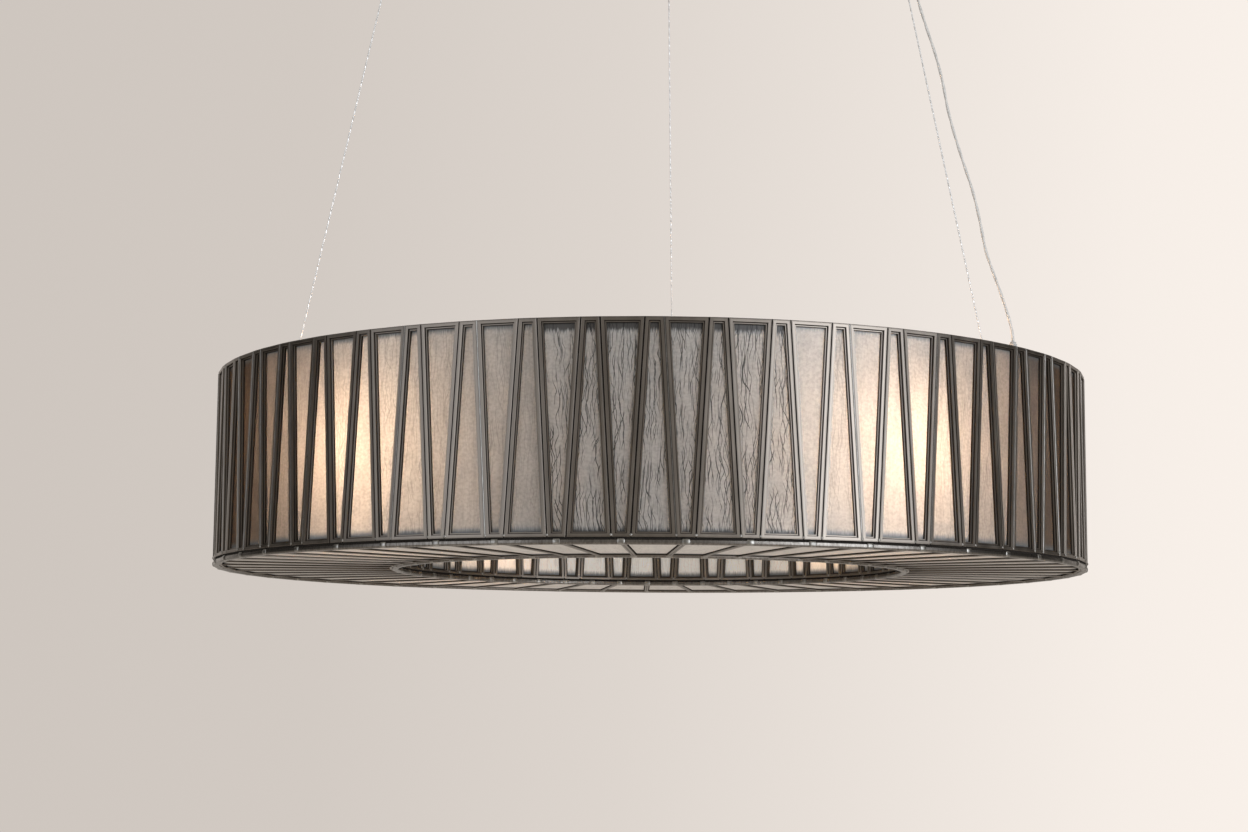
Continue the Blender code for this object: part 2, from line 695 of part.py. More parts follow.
def make_power_cord():
    """The cord, its two grips and the wiring boxes at its ends."""
    azimuth = math.radians(SECTORS["right"])
    seat = radial_frame(azimuth, CORD_INLET_RADIUS, BAR_TOP)
    spigot = BAR_THICKNESS + GAP + BOX_WALL + GRIP_SPIGOT_PROUD
    cord_grip("cord_grip_ring", spigot, seat)
    over = cord_outlet() @ Matrix.Translation((0.0, 0.0, -CANOPY_HEIGHT))
    upside_down = over @ Matrix.Rotation(math.pi, 4, "X")
    cord_grip("cord_grip_canopy", CANOPY_WALL + GRIP_SPIGOT_PROUD, upside_down)
    route = smooth_route([np.array(point) for point in CORD_ROUTE], CORD_POINTS, CORD_STUB)
    tube("power_cord", route, CORD_DIAMETER, CORD)
    make_junction_box(azimuth)
    middle = BLOCK_HEIGHT / 2 + CANOPY_FLOOR + GAP
    frame = cord_outlet() @ Matrix.Translation((0.0, 0.0, middle))
    made = block("terminal_block", (BLOCK_LENGTH, BLOCK_WIDTH, BLOCK_HEIGHT), PLASTIC, frame)
    depth = GRIP_SPIGOT_PROUD + CORD_TAIL_POCKET
    base = Matrix.Translation((0.0, 0.0, -BLOCK_HEIGHT / 2 - OVERRUN))
    lift = Matrix.Translation((0.0, 0.0, (depth + OVERRUN) / 2))
    pocket = rod("block_pocket", GRIP_HOLE_DIAMETER, depth + OVERRUN, frame @ base @ lift)
    combine(made, [pocket], "DIFFERENCE")


def make_junction_box(azimuth):
    """A box open below, its lid and its terminal strip, under the right-hand strut."""
    top = BAR_BOTTOM - GAP
    frame = radial_frame(azimuth, CORD_INLET_RADIUS)
    middle = frame @ Matrix.Translation((0.0, 0.0, top - BOX_HEIGHT / 2))
    made = block("junction_box", (BOX_LENGTH, BOX_WIDTH, BOX_HEIGHT), PLASTIC, middle)
    hollow = (BOX_LENGTH - 2 * BOX_WALL, BOX_WIDTH - 2 * BOX_WALL, BOX_HEIGHT)
    lowered = middle @ Matrix.Translation((0.0, 0.0, -BOX_WALL))
    inside = block("box_hollow", hollow, None, lowered, CUTTERS)
    roof = frame @ Matrix.Translation((0.0, 0.0, top))
    entry = rod("box_entry", GRIP_HOLE_DIAMETER, BOX_HEIGHT, roof)
    combine(made, [inside, entry], "DIFFERENCE")
    low = top - BOX_HEIGHT - GAP - LID_THICKNESS / 2
    lid = (BOX_LENGTH, BOX_WIDTH, LID_THICKNESS)
    block("junction_box_lid", lid, PLASTIC, frame @ Matrix.Translation((0.0, 0.0, low)))
    low = top - BOX_HEIGHT + STRIP_HEIGHT / 2
    strip = (STRIP_LENGTH, STRIP_WIDTH, STRIP_HEIGHT)
    block("terminal_strip", strip, PLASTIC, frame @ Matrix.Translation((0.0, 0.0, low)))


def lead_entry(name, side):
    """Points where a lead meets a lampholder squarely, a step to one side of its inner line."""
    frame = radial_frame(math.radians(LAMPS[name]), LAMP_RADIUS, BAR_BOTTOM - LEAD_DROP)
    nearest = LEAD_SIDE_STEP - LEAD_DIAMETER / 2
    reach = math.sqrt((HOLDER_DIAMETER / 2) ** 2 - nearest**2) + GAP
    steps = (0.0, LEAD_BEND / 8, LEAD_BEND / 4)
    return [frame @ Vector((-reach - out, side * LEAD_SIDE_STEP, 0.0)) for out in steps]


def along_inner_wall(start, end):
    """Points on the leads' circle beside the inner wall, from one azimuth to another in degrees."""
    count = round(abs(end - start) / LEAD_TURN_STEP)
    height = BAR_BOTTOM - LEAD_DROP
    angles = np.radians(np.linspace(start, end, count + 1))
    return [polar(LEAD_RADIUS, angle, height) for angle in angles]


def box_exit(side):
    """Points where a lead leaves the junction box squarely and bends towards the ring's middle."""
    frame = radial_frame(math.radians(SECTORS["right"]), CORD_INLET_RADIUS, BAR_BOTTOM - LEAD_DROP)
    wall = BOX_WIDTH / 2 + GAP
    steps = ((0.0, 0.0), (0.0, LEAD_BEND / 8), (LEAD_BEND / 4, LEAD_BEND / 4))
    return [frame @ Vector((-inwards, side * (wall + out), 0.0)) for inwards, out in steps]


def make_leads():
    """Sheathed leads from the junction box to two lampholders, and on from those to the others."""
    height = BAR_BOTTOM - LEAD_DROP
    box = radial_frame(math.radians(SECTORS["right"]), CORD_INLET_RADIUS, height)
    holder = radial_frame(math.radians(LAMPS["front_right"]), LAMP_RADIUS, height)
    wall = BOX_WIDTH / 2
    past_strut = box @ Vector((LAMP_RADIUS - CORD_INLET_RADIUS, wall + LEAD_BEND / 4, 0.0))
    past_box = box @ Vector((-LEAD_BEND, -wall - LEAD_BEND / 2, 0.0))
    side = HOLDER_DIAMETER / 2 + GAP
    side_entry = [holder @ Vector((0.0, side + out, 0.0)) for out in (LEAD_BEND / 4, LEAD_BEND / 8, 0.0)]
    bend = math.degrees(LEAD_BEND / LEAD_RADIUS)
    front = (LAMPS["front_right"] - bend, LAMPS["front_left"] - math.degrees(TURN) + bend)
    right = (SECTORS["right"] + bend, LAMPS["back_right"] - bend)
    back = (LAMPS["back_right"] + bend, LAMPS["back_left"] - bend)
    routes = {
        "front_right": [*box_exit(-1), past_box, *side_entry],
        "back_right": [
            *box_exit(1),
            past_strut,
            *along_inner_wall(*right),
            *reversed(lead_entry("back_right", -1)),
        ],
        "back_left": [
            *lead_entry("back_right", 1),
            *along_inner_wall(*back),
            *reversed(lead_entry("back_left", -1)),
        ],
        "front_left": [
            *lead_entry("front_right", -1),
            *along_inner_wall(*front),
            *reversed(lead_entry("front_left", 1)),
        ],
    }
    for name, points in routes.items():
        route = [np.array(point) for point in points]
        length = sum(np.linalg.norm(b - a) for a, b in zip(route, route[1:]))
        smooth = smooth_route(route, round(length / LEAD_SPACING), LEAD_STUB)
        tube("lead_" + name, smooth, LEAD_DIAMETER, CORD, resolution=1)


def make_canopy():
    """Spun pan, open against the ceiling, with holes for the studs, the grippers and the cord."""
    radius, inside = CANOPY_DIAMETER / 2, CANOPY_DIAMETER / 2 - CANOPY_WALL
    profile = [
        (0.0, CANOPY_FLOOR),
        (inside - CANOPY_CORNER, CANOPY_FLOOR),
        (inside, CANOPY_FLOOR + CANOPY_CORNER),
        (inside, 0.0),
        (radius, 0.0),
        (radius, -CANOPY_HEIGHT + CANOPY_CORNER),
        (radius - CANOPY_CORNER, -CANOPY_HEIGHT),
        (0.0, -CANOPY_HEIGHT),
    ]
    made = turned("canopy", profile, PEWTER_SATIN, Matrix.Identity(4), WIDE_STEPS)
    depth = CANOPY_WALL + 2 * OVERRUN
    level = CANOPY_FLOOR - CANOPY_WALL / 2
    holes = []
    for name, degrees in SECTORS.items():
        frame = radial_frame(math.radians(degrees), cable_radius(level), level)
        holes.append(rod("hole_gripper_" + name, GRIPPER_HOLE_DIAMETER, depth, frame))
    for name, degrees in CAP_NUTS.items():
        frame = radial_frame(math.radians(degrees), STUD_CIRCLE_RADIUS, level)
        holes.append(rod("hole_stud_" + name, STUD_HOLE_DIAMETER, depth, frame, SMALL_STEPS))
    frame = cord_outlet() @ Matrix.Translation((0.0, 0.0, level))
    holes.append(rod("hole_cord", GRIP_HOLE_DIAMETER, depth, frame))
    combine(made, holes, "DIFFERENCE")


def make_bracket():
    """Three flat arms on the ceiling, each with a screw hole and a threaded stud for a cap nut."""
    half = BRACKET_ARM_WIDTH / 2
    outline = []
    for degrees in CAP_NUTS.values():
        azimuth = math.radians(degrees)
        frame = radial_frame(azimuth)
        outline += [frame @ Vector((BRACKET_ARM_LENGTH, side * half, 0.0)) for side in (-1, 1)]
        outline.append(polar(half / math.cos(math.pi / 6), azimuth + math.pi / 3))
    holes = []
    for degrees in CAP_NUTS.values():
        centre = polar(BRACKET_SCREW_RADIUS, math.radians(degrees))
        holes.append(circle(BRACKET_SCREW_HOLE_DIAMETER, centre[:2], SMALL_STEPS))
    frame = Matrix.Translation((0.0, 0.0, -BRACKET_THICKNESS))
    outlines = [[tuple(point[:2]) for point in outline], *holes]
    made = plate("ceiling_bracket", outlines, BRACKET_THICKNESS, STEEL, frame)
    length = CANOPY_HEIGHT + STUD_PROUD - BRACKET_THICKNESS / 2
    middle = -BRACKET_THICKNESS / 2 - length / 2
    studs = []
    for name, degrees in CAP_NUTS.items():
        frame = radial_frame(math.radians(degrees), STUD_CIRCLE_RADIUS, middle)
        studs.append(rod("stud_" + name, STUD_DIAMETER, length, frame, SMALL_STEPS))
    combine(made, studs, "UNION")


def make_cap_nuts():
    """Knurled nuts on the studs, under the canopy floor."""
    outside, bore = CAP_NUT_DIAMETER / 2, CAP_NUT_BORE_DIAMETER / 2
    profile = [
        (0.0, -CAP_NUT_BORE_DEPTH),
        (bore, -CAP_NUT_BORE_DEPTH),
        (bore, 0.0),
        (outside, 0.0),
        (outside, -CAP_NUT_HEIGHT + CAP_NUT_CHAMFER),
        (outside - CAP_NUT_CHAMFER, -CAP_NUT_HEIGHT),
        (0.0, -CAP_NUT_HEIGHT),
    ]
    for name, degrees in CAP_NUTS.items():
        frame = radial_frame(math.radians(degrees), STUD_CIRCLE_RADIUS, -CANOPY_HEIGHT - GAP)
        turned("cap_nut_" + name, profile, NICKEL, frame)


clear_scene()
PARTS = new_collection(NAME)
CUTTERS = new_collection("cutters", hidden=True)

PEWTER = new_material("patinated_pewter", (0.24, 0.23, 0.22), 0.42, 1.0)
PEWTER_SATIN = new_material("satin_pewter", (0.30, 0.29, 0.28), 0.35, 1.0)
GLASS = new_material("frosted_glass", (0.74, 0.70, 0.65), 0.55, alpha=0.6)
STEEL = new_material("galvanised_steel", (0.52, 0.52, 0.52), 0.45, 1.0)
STAINLESS = new_material("stainless_wire_rope", (0.72, 0.72, 0.71), 0.30, 1.0)
NICKEL = new_material("satin_nickel", (0.62, 0.60, 0.57), 0.30, 1.0)
BRASS = new_material("brass", (0.72, 0.56, 0.27), 0.30, 1.0)
PHENOLIC = new_material("black_phenolic", (0.02, 0.02, 0.02), 0.35)
BULB = new_material("opal_bulb", (0.98, 0.88, 0.70), 0.30)
CORD = new_material("clear_grey_sheath", (0.58, 0.57, 0.55), 0.35)
RUBBER = new_material("grey_rubber", (0.36, 0.35, 0.34), 0.60)
PLASTIC = new_material("white_nylon", (0.78, 0.77, 0.74), 0.50)

make_walls()
make_base()
make_rims()
make_rails()
make_bars()
make_lamps()
make_cables()
make_power_cord()
make_leads()
make_canopy()
make_bracket()
make_cap_nuts()
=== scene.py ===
"""Looks of a ring pendant in leaded glass, dressed over its packed construction model.

Metres, +Z up, the ceiling at zero height. An azimuth is counted from the front (-Y) towards the
right (+X), and a pane's own coordinates are millimetres on its face.
"""

import math

import bmesh
import bpy
import numpy as np
from mathutils import Matrix, Vector


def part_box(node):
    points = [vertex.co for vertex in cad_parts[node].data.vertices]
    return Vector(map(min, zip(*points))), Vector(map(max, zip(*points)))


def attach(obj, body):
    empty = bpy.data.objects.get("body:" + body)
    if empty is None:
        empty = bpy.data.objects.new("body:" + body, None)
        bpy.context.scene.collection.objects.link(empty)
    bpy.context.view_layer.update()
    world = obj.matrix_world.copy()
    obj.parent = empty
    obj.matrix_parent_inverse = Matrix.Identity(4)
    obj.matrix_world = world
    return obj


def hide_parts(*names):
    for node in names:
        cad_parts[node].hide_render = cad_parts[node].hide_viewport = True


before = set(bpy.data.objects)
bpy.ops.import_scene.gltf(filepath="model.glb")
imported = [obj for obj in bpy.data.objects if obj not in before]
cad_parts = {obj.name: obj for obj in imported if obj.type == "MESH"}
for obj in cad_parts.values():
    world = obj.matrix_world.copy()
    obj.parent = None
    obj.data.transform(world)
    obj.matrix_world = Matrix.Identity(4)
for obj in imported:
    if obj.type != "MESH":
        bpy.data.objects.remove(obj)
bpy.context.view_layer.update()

TURN = 2 * math.pi
MILLIMETRE = 0.001
GAP = 0.0003
MERGE_DISTANCE = 0.000005
SHARP_ANGLE = math.radians(32)
SEED = 51

# The ring, as it is built
RING_RADIUS = 0.4572
INNER_RADIUS = RING_RADIUS - 0.1905
RING_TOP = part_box("outer_frame")[1].z
RING_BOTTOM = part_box("outer_rim")[0].z
WALL_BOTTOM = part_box("outer_frame")[0].z
BAR_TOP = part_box("strut_right")[1].z
BAR_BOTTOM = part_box("strut_right")[0].z
BASE_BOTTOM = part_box("bottom_frame")[0].z
OUTER_PANEL_PAIRS = 51
INNER_PANEL_PAIRS = 30
OUTER_WIDE_SHARE = 0.70
INNER_WIDE_SHARE = 0.66
OUTER_PATTERN_TURN = math.radians(1.06)
SPOKES = OUTER_PATTERN_TURN + TURN * np.arange(OUTER_PANEL_PAIRS) / OUTER_PANEL_PAIRS
CAME_DEPTH = 0.004
GLASS_THICKNESS = 0.003
RIM_DIAMETER = 0.006
SECTORS = {"right": 60, "back": 180, "left": 300}
LAMPS = {"front_right": 45, "back_right": 135, "back_left": 225, "front_left": 315}
CAP_NUTS = {"front": 0, "back_right": 120, "back_left": 240}

# The soldered channels: each section runs from the seam inwards, as (inset, sink below the face,
# polish_and_shade). The crown is bright where hands and cloths have kept it so, and lower places
# are darker, partly from patina and partly as painted shade of the recesses. Faces between two
# places with none are filled with putty, whose black is also painted shade deep in seams and steps
PANE_SLACK = 0.0002
OUTER_CAME_SECTION = [
    (0.00001, 0.0040, 0.0),
    (0.00001, 0.0016, 0.0),
    (0.00055, 0.0014, 0.0),
    (0.00062, 0.0002, 0.7),
    (0.00080, 0.0000, 1.0),
    (0.00110, 0.0000, 1.0),
    (0.00122, 0.0001, 0.3),
    (0.00134, 0.0000, 0.9),
    (0.00345, 0.0000, 0.9),
    (0.00362, 0.0002, 0.8),
    (0.00370, 0.0016, 0.0),
    (0.00405, 0.0021, 0.0),
    (0.00420, 0.0019, 0.8),
    (0.00500, 0.0019, 1.0),
    (0.00520, 0.0023, 0.4),
    (0.00540, 0.0034, 0.0),
    (0.00540, 0.0040, 0.0),
]
INNER_CAME_SECTION = [
    (0.00001, 0.0040, 0.0),
    (0.00001, 0.0012, 0.0),
    (0.00035, 0.0010, 0.0),
    (0.00060, 0.0000, 1.0),
    (0.00280, 0.0000, 0.8),
    (0.00330, 0.0005, 0.5),
    (0.00345, 0.0018, 0.0),
    (0.00430, 0.0022, 0.3),
    (0.00480, 0.0028, 0.0),
    (0.00480, 0.0040, 0.0),
]
BASE_CAME_SECTION = [
    (0.00001, 0.0022, 0.0),
    (0.00001, 0.0008, 0.0),
    (0.00020, 0.0005, 0.3),
    (0.00035, 0.0001, 0.9),
    (0.00050, 0.0000, 1.0),
    (0.00205, 0.0000, 1.0),
    (0.00220, 0.0002, 0.8),
    (0.00225, 0.0010, 0.0),
    (0.00300, 0.0010, 0.0),
    (0.00320, 0.0014, 0.0),
    (0.00320, 0.0022, 0.0),
]
FRAME_UNEVENNESS = 0.00010
BASE_GLASS_SINK = 0.0016

# Panes: where points stand up their height, how many millimetres less of the dark end band a plain
# one has at its top, and the number that each carries as its third coordinate, so that no two have
# the same grain
PANE_LEVEL_SHARES = (0.0, 0.1, 0.9, 1.0)
TOP_BAND_SPARED = 7.0
PANE_NUMBER_START = 0.31
PANE_NUMBER_STEP = 7.37

# How veined and how clear the panes are, as shares. The veined outer panes lie between two angles,
# in degrees right of the photographed view, and a plain one may have some veins. An inner pane has a
# least share and a random part; one below has a least share, what it gains where it lies square to
# the view, which is painted light, and a random part.
VEINED_DEGREES = (-12, 16.5)
PLAIN_VEIN_SHARE = 0.35
INNER_VEINED = (0.10, 0.15)
INNER_CLEARNESS = (0.90, 0.10)
BASE_VEINED = 0.20
BASE_CLEARNESS_AND_LIGHT = (0.42, 0.40, 0.12)

# How light the outer panes are, as (degrees right of the photographed view, share): partly smoke
# and partly painted light, brighter by the lamps and the right softbox and darker at the dim sides;
# and how far neighbours differ at random
SMOKE_SPREAD = 0.16
PANE_LIGHT_AND_SMOKE_BY_DEGREES = [
    (-180, 0.6),
    (-100, 0.6),
    (-80, 0.35),
    (-58, 0.40),
    (-50, 0.60),
    (-42, 1.05),
    (-34, 1.0),
    (-26, 0.66),
    (-20, 0.54),
    (-10, 0.52),
    (2, 0.60),
    (10, 0.75),
    (18, 1.0),
    (34, 1.0),
    (42, 0.75),
    (50, 0.40),
    (60, 0.35),
    (80, 0.40),
    (100, 0.6),
    (180, 0.6),
]

# Solder: the share of seams with a bead or a dot, their sizes, and a bead's lumps as (waves, size)
BEAD_SHARE = 0.40
BEAD_HALF_WIDTH = 0.00035
BEAD_HEIGHT = 0.00020
BEAD_REACH_SHARES = (0.004, 0.996)
BEAD_LUMPS = ((5, 0.04), (13, 0.03))
BEAD_STATIONS = 28
BEAD_SIDES = 6
DOT_SHARE = 0.8
DOT_RADIUS = 0.0012
DOT_HEIGHT = 0.0007
DOT_LEAST_SHARE = 0.75
DOT_LEVEL_SHARE = 0.012
DOT_FOOT_LIFT = -0.3
DOT_ROWS = 5
DOT_SIDES = 10

# Rims: a flattened bar round each bottom edge, with a sleeve over each joint
RIM_HEIGHT = 0.0048
RIM_CORNER = 0.0019
# The neck above each bar is dead black, a painted shadow for the gap under the wall
RIM_SHADOW_NECK_INSET = 0.0012
SLEEVE_HALF_LENGTH = 0.0032
SLEEVE_PROUD = 0.0004

# Bars, boxes and lamps
BAR_THICKNESS = 0.003
BAR_EASE = 0.0004
BRACKET_EASE = 0.0003
BOX_EASE = 0.0005
NIPPLE_RADIUS = 0.0049
NIPPLE_PROUD = 0.006
HOLDER_RADIUS = 0.019
FLUTES = 32
FLUTE_DEPTH = 0.0005
BULB_RADIUS = 0.030
BULB_DROP = 0.078
BULB_CAP_RADIUS = 0.0127
BULB_SEAT_DEPTH = 0.0165
THREAD_PITCH = 0.0036
THREAD_DEPTH = 0.0004
LAMP_RADIUS = (RING_RADIUS + INNER_RADIUS) / 2

# Wiring
CORD_INLET_RADIUS = RING_RADIUS - 0.0332
CORD_OUTLET_OFFSET = 0.017
BOX_WIDTH = 0.028
BOX_WALL = 0.0015
GRIP_HEIGHT = 0.018
GRIP_FOOT_HEIGHT = 0.005
GRIP_SPIGOT_PROUD = 0.0015
RIB_DEPTH = 0.0006
RIB_PITCH = 0.0024
LEAD_DIAMETER = 0.004
LEAD_LEVEL = BAR_BOTTOM - 0.0135
LEAD_RADIUS = INNER_RADIUS + 0.0188
LEAD_SIDE_STEP = 0.007
LEAD_BEND = 0.040

# Canopy
CANOPY_RADIUS = 0.300
CANOPY_HEIGHT = 0.032
CANOPY_WALL = 0.0015
CANOPY_CORNER = 0.005
CANOPY_FLOOR = CANOPY_WALL - CANOPY_HEIGHT
LIP_DROP = 0.0006
LIP_EASE = 0.0004
STUD_CIRCLE_RADIUS = 0.180
STUD_HOLE_RADIUS = 0.0035
GRIPPER_HOLE_RADIUS = 0.0059
CORD_HOLE_RADIUS = 0.0044

# Cables and cords: the circles that the cables' ends stand on, the ball stop and the gripper that
# hold them, and for each rope its strands, the grooves between them and the lay, one twist's length
ANCHOR_RADIUS = RING_RADIUS - 0.0612
GRIPPER_RADIUS = CANOPY_RADIUS - 0.0227
CABLE_STOP_RADIUS = 0.0045
STOP_BORE_DEPTH = 0.006
GRIPPER_HEAD_RADIUS = 0.0065
GRIPPER_STEM_RADIUS = 0.0048
GRIPPER_LENGTH = 0.030
SLEEVE_TRAVEL = 0.0025
SLEEVE_COLLAR_HEIGHT = 0.003
CABLE_BORE_RADIUS = 0.0011
CABLE_LOW = BAR_BOTTOM - CABLE_STOP_RADIUS - GAP
CABLE_HIGH = CANOPY_FLOOR + GRIPPER_HEAD_RADIUS + GAP
CABLE_TAIL = 0.010
HANG_LEAN = math.atan2(ANCHOR_RADIUS - GRIPPER_RADIUS, CANOPY_FLOOR - BAR_TOP)
CABLE_DIAMETER = 0.0016
CABLE_STRANDS = 3
CABLE_GROOVE = 0.0003
CABLE_LAY = 0.030
CABLE_STEP = 0.0014
CORD_DIAMETER = 0.003
CORD_GROOVE = 0.0005
CORD_LAY = 0.045
CORD_STEP = 0.004
CORD_ROUTE = [
    (0.3672, -0.2120, -0.5970),
    (0.3672, -0.2120, -0.5860),
    (0.3672, -0.2120, -0.5750),
    (0.3669, -0.2118, -0.5620),
    (0.3650, -0.2104, -0.5500),
    (0.3586, -0.2058, -0.5250),
    (0.3510, -0.2006, -0.5000),
    (0.3437, -0.1958, -0.4750),
    (0.3388, -0.1908, -0.4450),
    (0.3330, -0.1856, -0.4150),
    (0.3247, -0.1808, -0.3850),
    (0.3166, -0.1760, -0.3550),
    (0.3099, -0.1707, -0.3250),
    (0.3053, -0.1653, -0.2950),
    (0.2987, -0.1602, -0.2650),
    (0.2902, -0.1552, -0.2350),
    (0.2824, -0.1502, -0.2050),
    (0.2771, -0.1450, -0.1750),
    (0.2710, -0.1398, -0.1450),
    (0.2630, -0.1346, -0.1150),
    (0.2554, -0.1290, -0.0850),
    (0.2502, -0.1250, -0.0640),
    (0.2487, -0.1239, -0.0500),
    (0.2486, -0.1239, -0.0380),
    (0.2486, -0.1239, -0.0260),
]

# The photographed view: the front of the pattern is turned from the camera's line by this much
VIEW_TURN = math.radians(4.82)
CAMERA_PLACE = (-0.02798, -2.3495, -0.9085)
CAMERA_PITCH = math.radians(7.179)
CAMERA_ROLL = math.radians(0.4003)
FOCAL_LENGTH = 63.58
SENSOR_WIDTH = 36.0

# The studio, as sRGB: the backdrop from left to right, what gloss sees from behind the camera to
# behind the ring, what it sees overhead and underfoot, and the plain light from all round. A span
# holds how far right, or how far up, a sight line of length one goes where a change starts and ends.
BACKDROP_SPAN = (-0.3, 0.3)
BACKDROP_TONES = [
    (0.0, "#cdc5be"),
    (0.27, "#d2cac3"),
    (0.5, "#ddd5ce"),
    (0.65, "#e7dfd8"),
    (0.87, "#f6eee7"),
    (1.0, "#faf2eb"),
]
ROOM_TONES = [
    (0.0, "#9a9692"),
    (0.25, "#8a8681"),
    (0.42, "#37342f"),
    (0.80, "#262320"),
    (0.90, "#ded6cf"),
    (1.0, "#e6ded7"),
]
OVERHEAD_SPAN = (0.25, 0.8)
CEILING_TONE = "#b5b1ac"
UNDERFOOT_SPAN = (-0.02, -0.14)
FLOOR_TONE = "#a8a29c"
ROOM_LIGHT = "#d9d6d2"
FLOOR_LEVEL = -2.6
FLOOR_RADIUS = 4.5

# Softboxes: each one's place, square to the photographed view, its width and height, its radiance
# and its tone, and the point that both are aimed at
SOFTBOX_AIM = (0.0, 0.0, -0.68)
SOFTBOXES = {
    "right_softbox": ((1.75, -1.85, -0.40), (1.5, 2.0), 4.5, "#edf3ff"),
    "left_softbox": ((-1.9, -1.75, -0.40), (1.7, 2.0), 1.3, "#eaf1ff"),
}

# Kinds of node
MATH = "ShaderNodeMath"
VECTOR = "ShaderNodeVectorMath"
RANGE = "ShaderNodeMapRange"
MIX = "ShaderNodeMix"
RAMP = "ShaderNodeValToRGB"
FACT = "ShaderNodeAttribute"
PLACE = "ShaderNodeTexCoord"
NOISE = "ShaderNodeTexNoise"
BUMP = "ShaderNodeBump"
PRINCIPLED = "ShaderNodeBsdfPrincipled"
MIX_SHADER = "ShaderNodeMixShader"
OUTPUT = "ShaderNodeOutputMaterial"

# A mix node's inputs for its share and its two colours, and what makes it mix colours
SHARE, FIRST, SECOND = 0, 6, 7
OF_COLOURS = {"out": 2, "data_type": "RGBA"}


def colour(code):
    """An sRGB hex value as linear red, green, blue and alpha."""
    parts = np.array([int(code[i : i + 2], 16) for i in (1, 3, 5)]) / 255
    linear = np.where(parts <= 0.04045, parts / 12.92, ((parts + 0.055) / 1.055) ** 2.4)
    return (*(float(part) for part in linear), 1.0)


def add_node(tree, kind, inputs=(), out=0, **settings):
    """Adds a node with its settings, fills its inputs, in order or by name, each with a value or
    another node's output, and gives back one of its outputs.
    """
    made = tree.nodes.new(kind)
    for name, value in settings.items():
        setattr(made, name, value)
    for name, value in inputs.items() if isinstance(inputs, dict) else enumerate(inputs):
        if isinstance(value, bpy.types.NodeSocket):
            tree.links.new(value, made.inputs[name])
        else:
            made.inputs[name].default_value = value
    return made.outputs[out] if made.outputs else made


def new_material(name):
    """An empty material and its node tree."""
    made = bpy.data.materials.new(name)
    made.use_nodes = True
    made.node_tree.nodes.clear()
    return made, made.node_tree


def pattern(tree, where, period, **inputs):
    """A noise whose grains have the given size in each direction, in the coordinates' own units."""
    steps = tuple(1.0 / length for length in period)
    scaled = add_node(tree, VECTOR, [where, steps], operation="MULTIPLY")
    return add_node(tree, NOISE, {"Vector": scaled, "Scale": 1.0, **inputs})


# Finishes

# The veins in the glass: spacing and sway in mm, size of a swing across and along, and half width
# as a share of the spacing; then the length over which one comes and goes, and how dark it is
VEINS = [
    (3.7, 15.0, (26.0, 25.0, 1.0), 0.115),
    (6.1, 24.0, (38.0, 44.0, 1.0), 0.075),
    (9.7, 34.0, (34.0, 58.0, 1.0), 0.050),
]
VEIN_STAY = (7.0, 34.0, 1.0)
VEIN_SHADE = 0.16

# The grain of the glass in mm across and along: fine streaks, the stipple that shows where light
# comes through, stains, and the ragged edge of the dark band at its ends
STREAKS = (1.3, 40.0, 1.0)
STIPPLE = (2.8, 2.5, 1.0)
STAINS = (9.0, 26.0, 1.0)
RAGS = (1.2, 9.0, 1.0)
# The dark band along a pane's two ends: grey on a plain pane, darker on a veined one
END_BAND_GREY = "#6c6d6c"
END_BAND_DARK = "#454340"


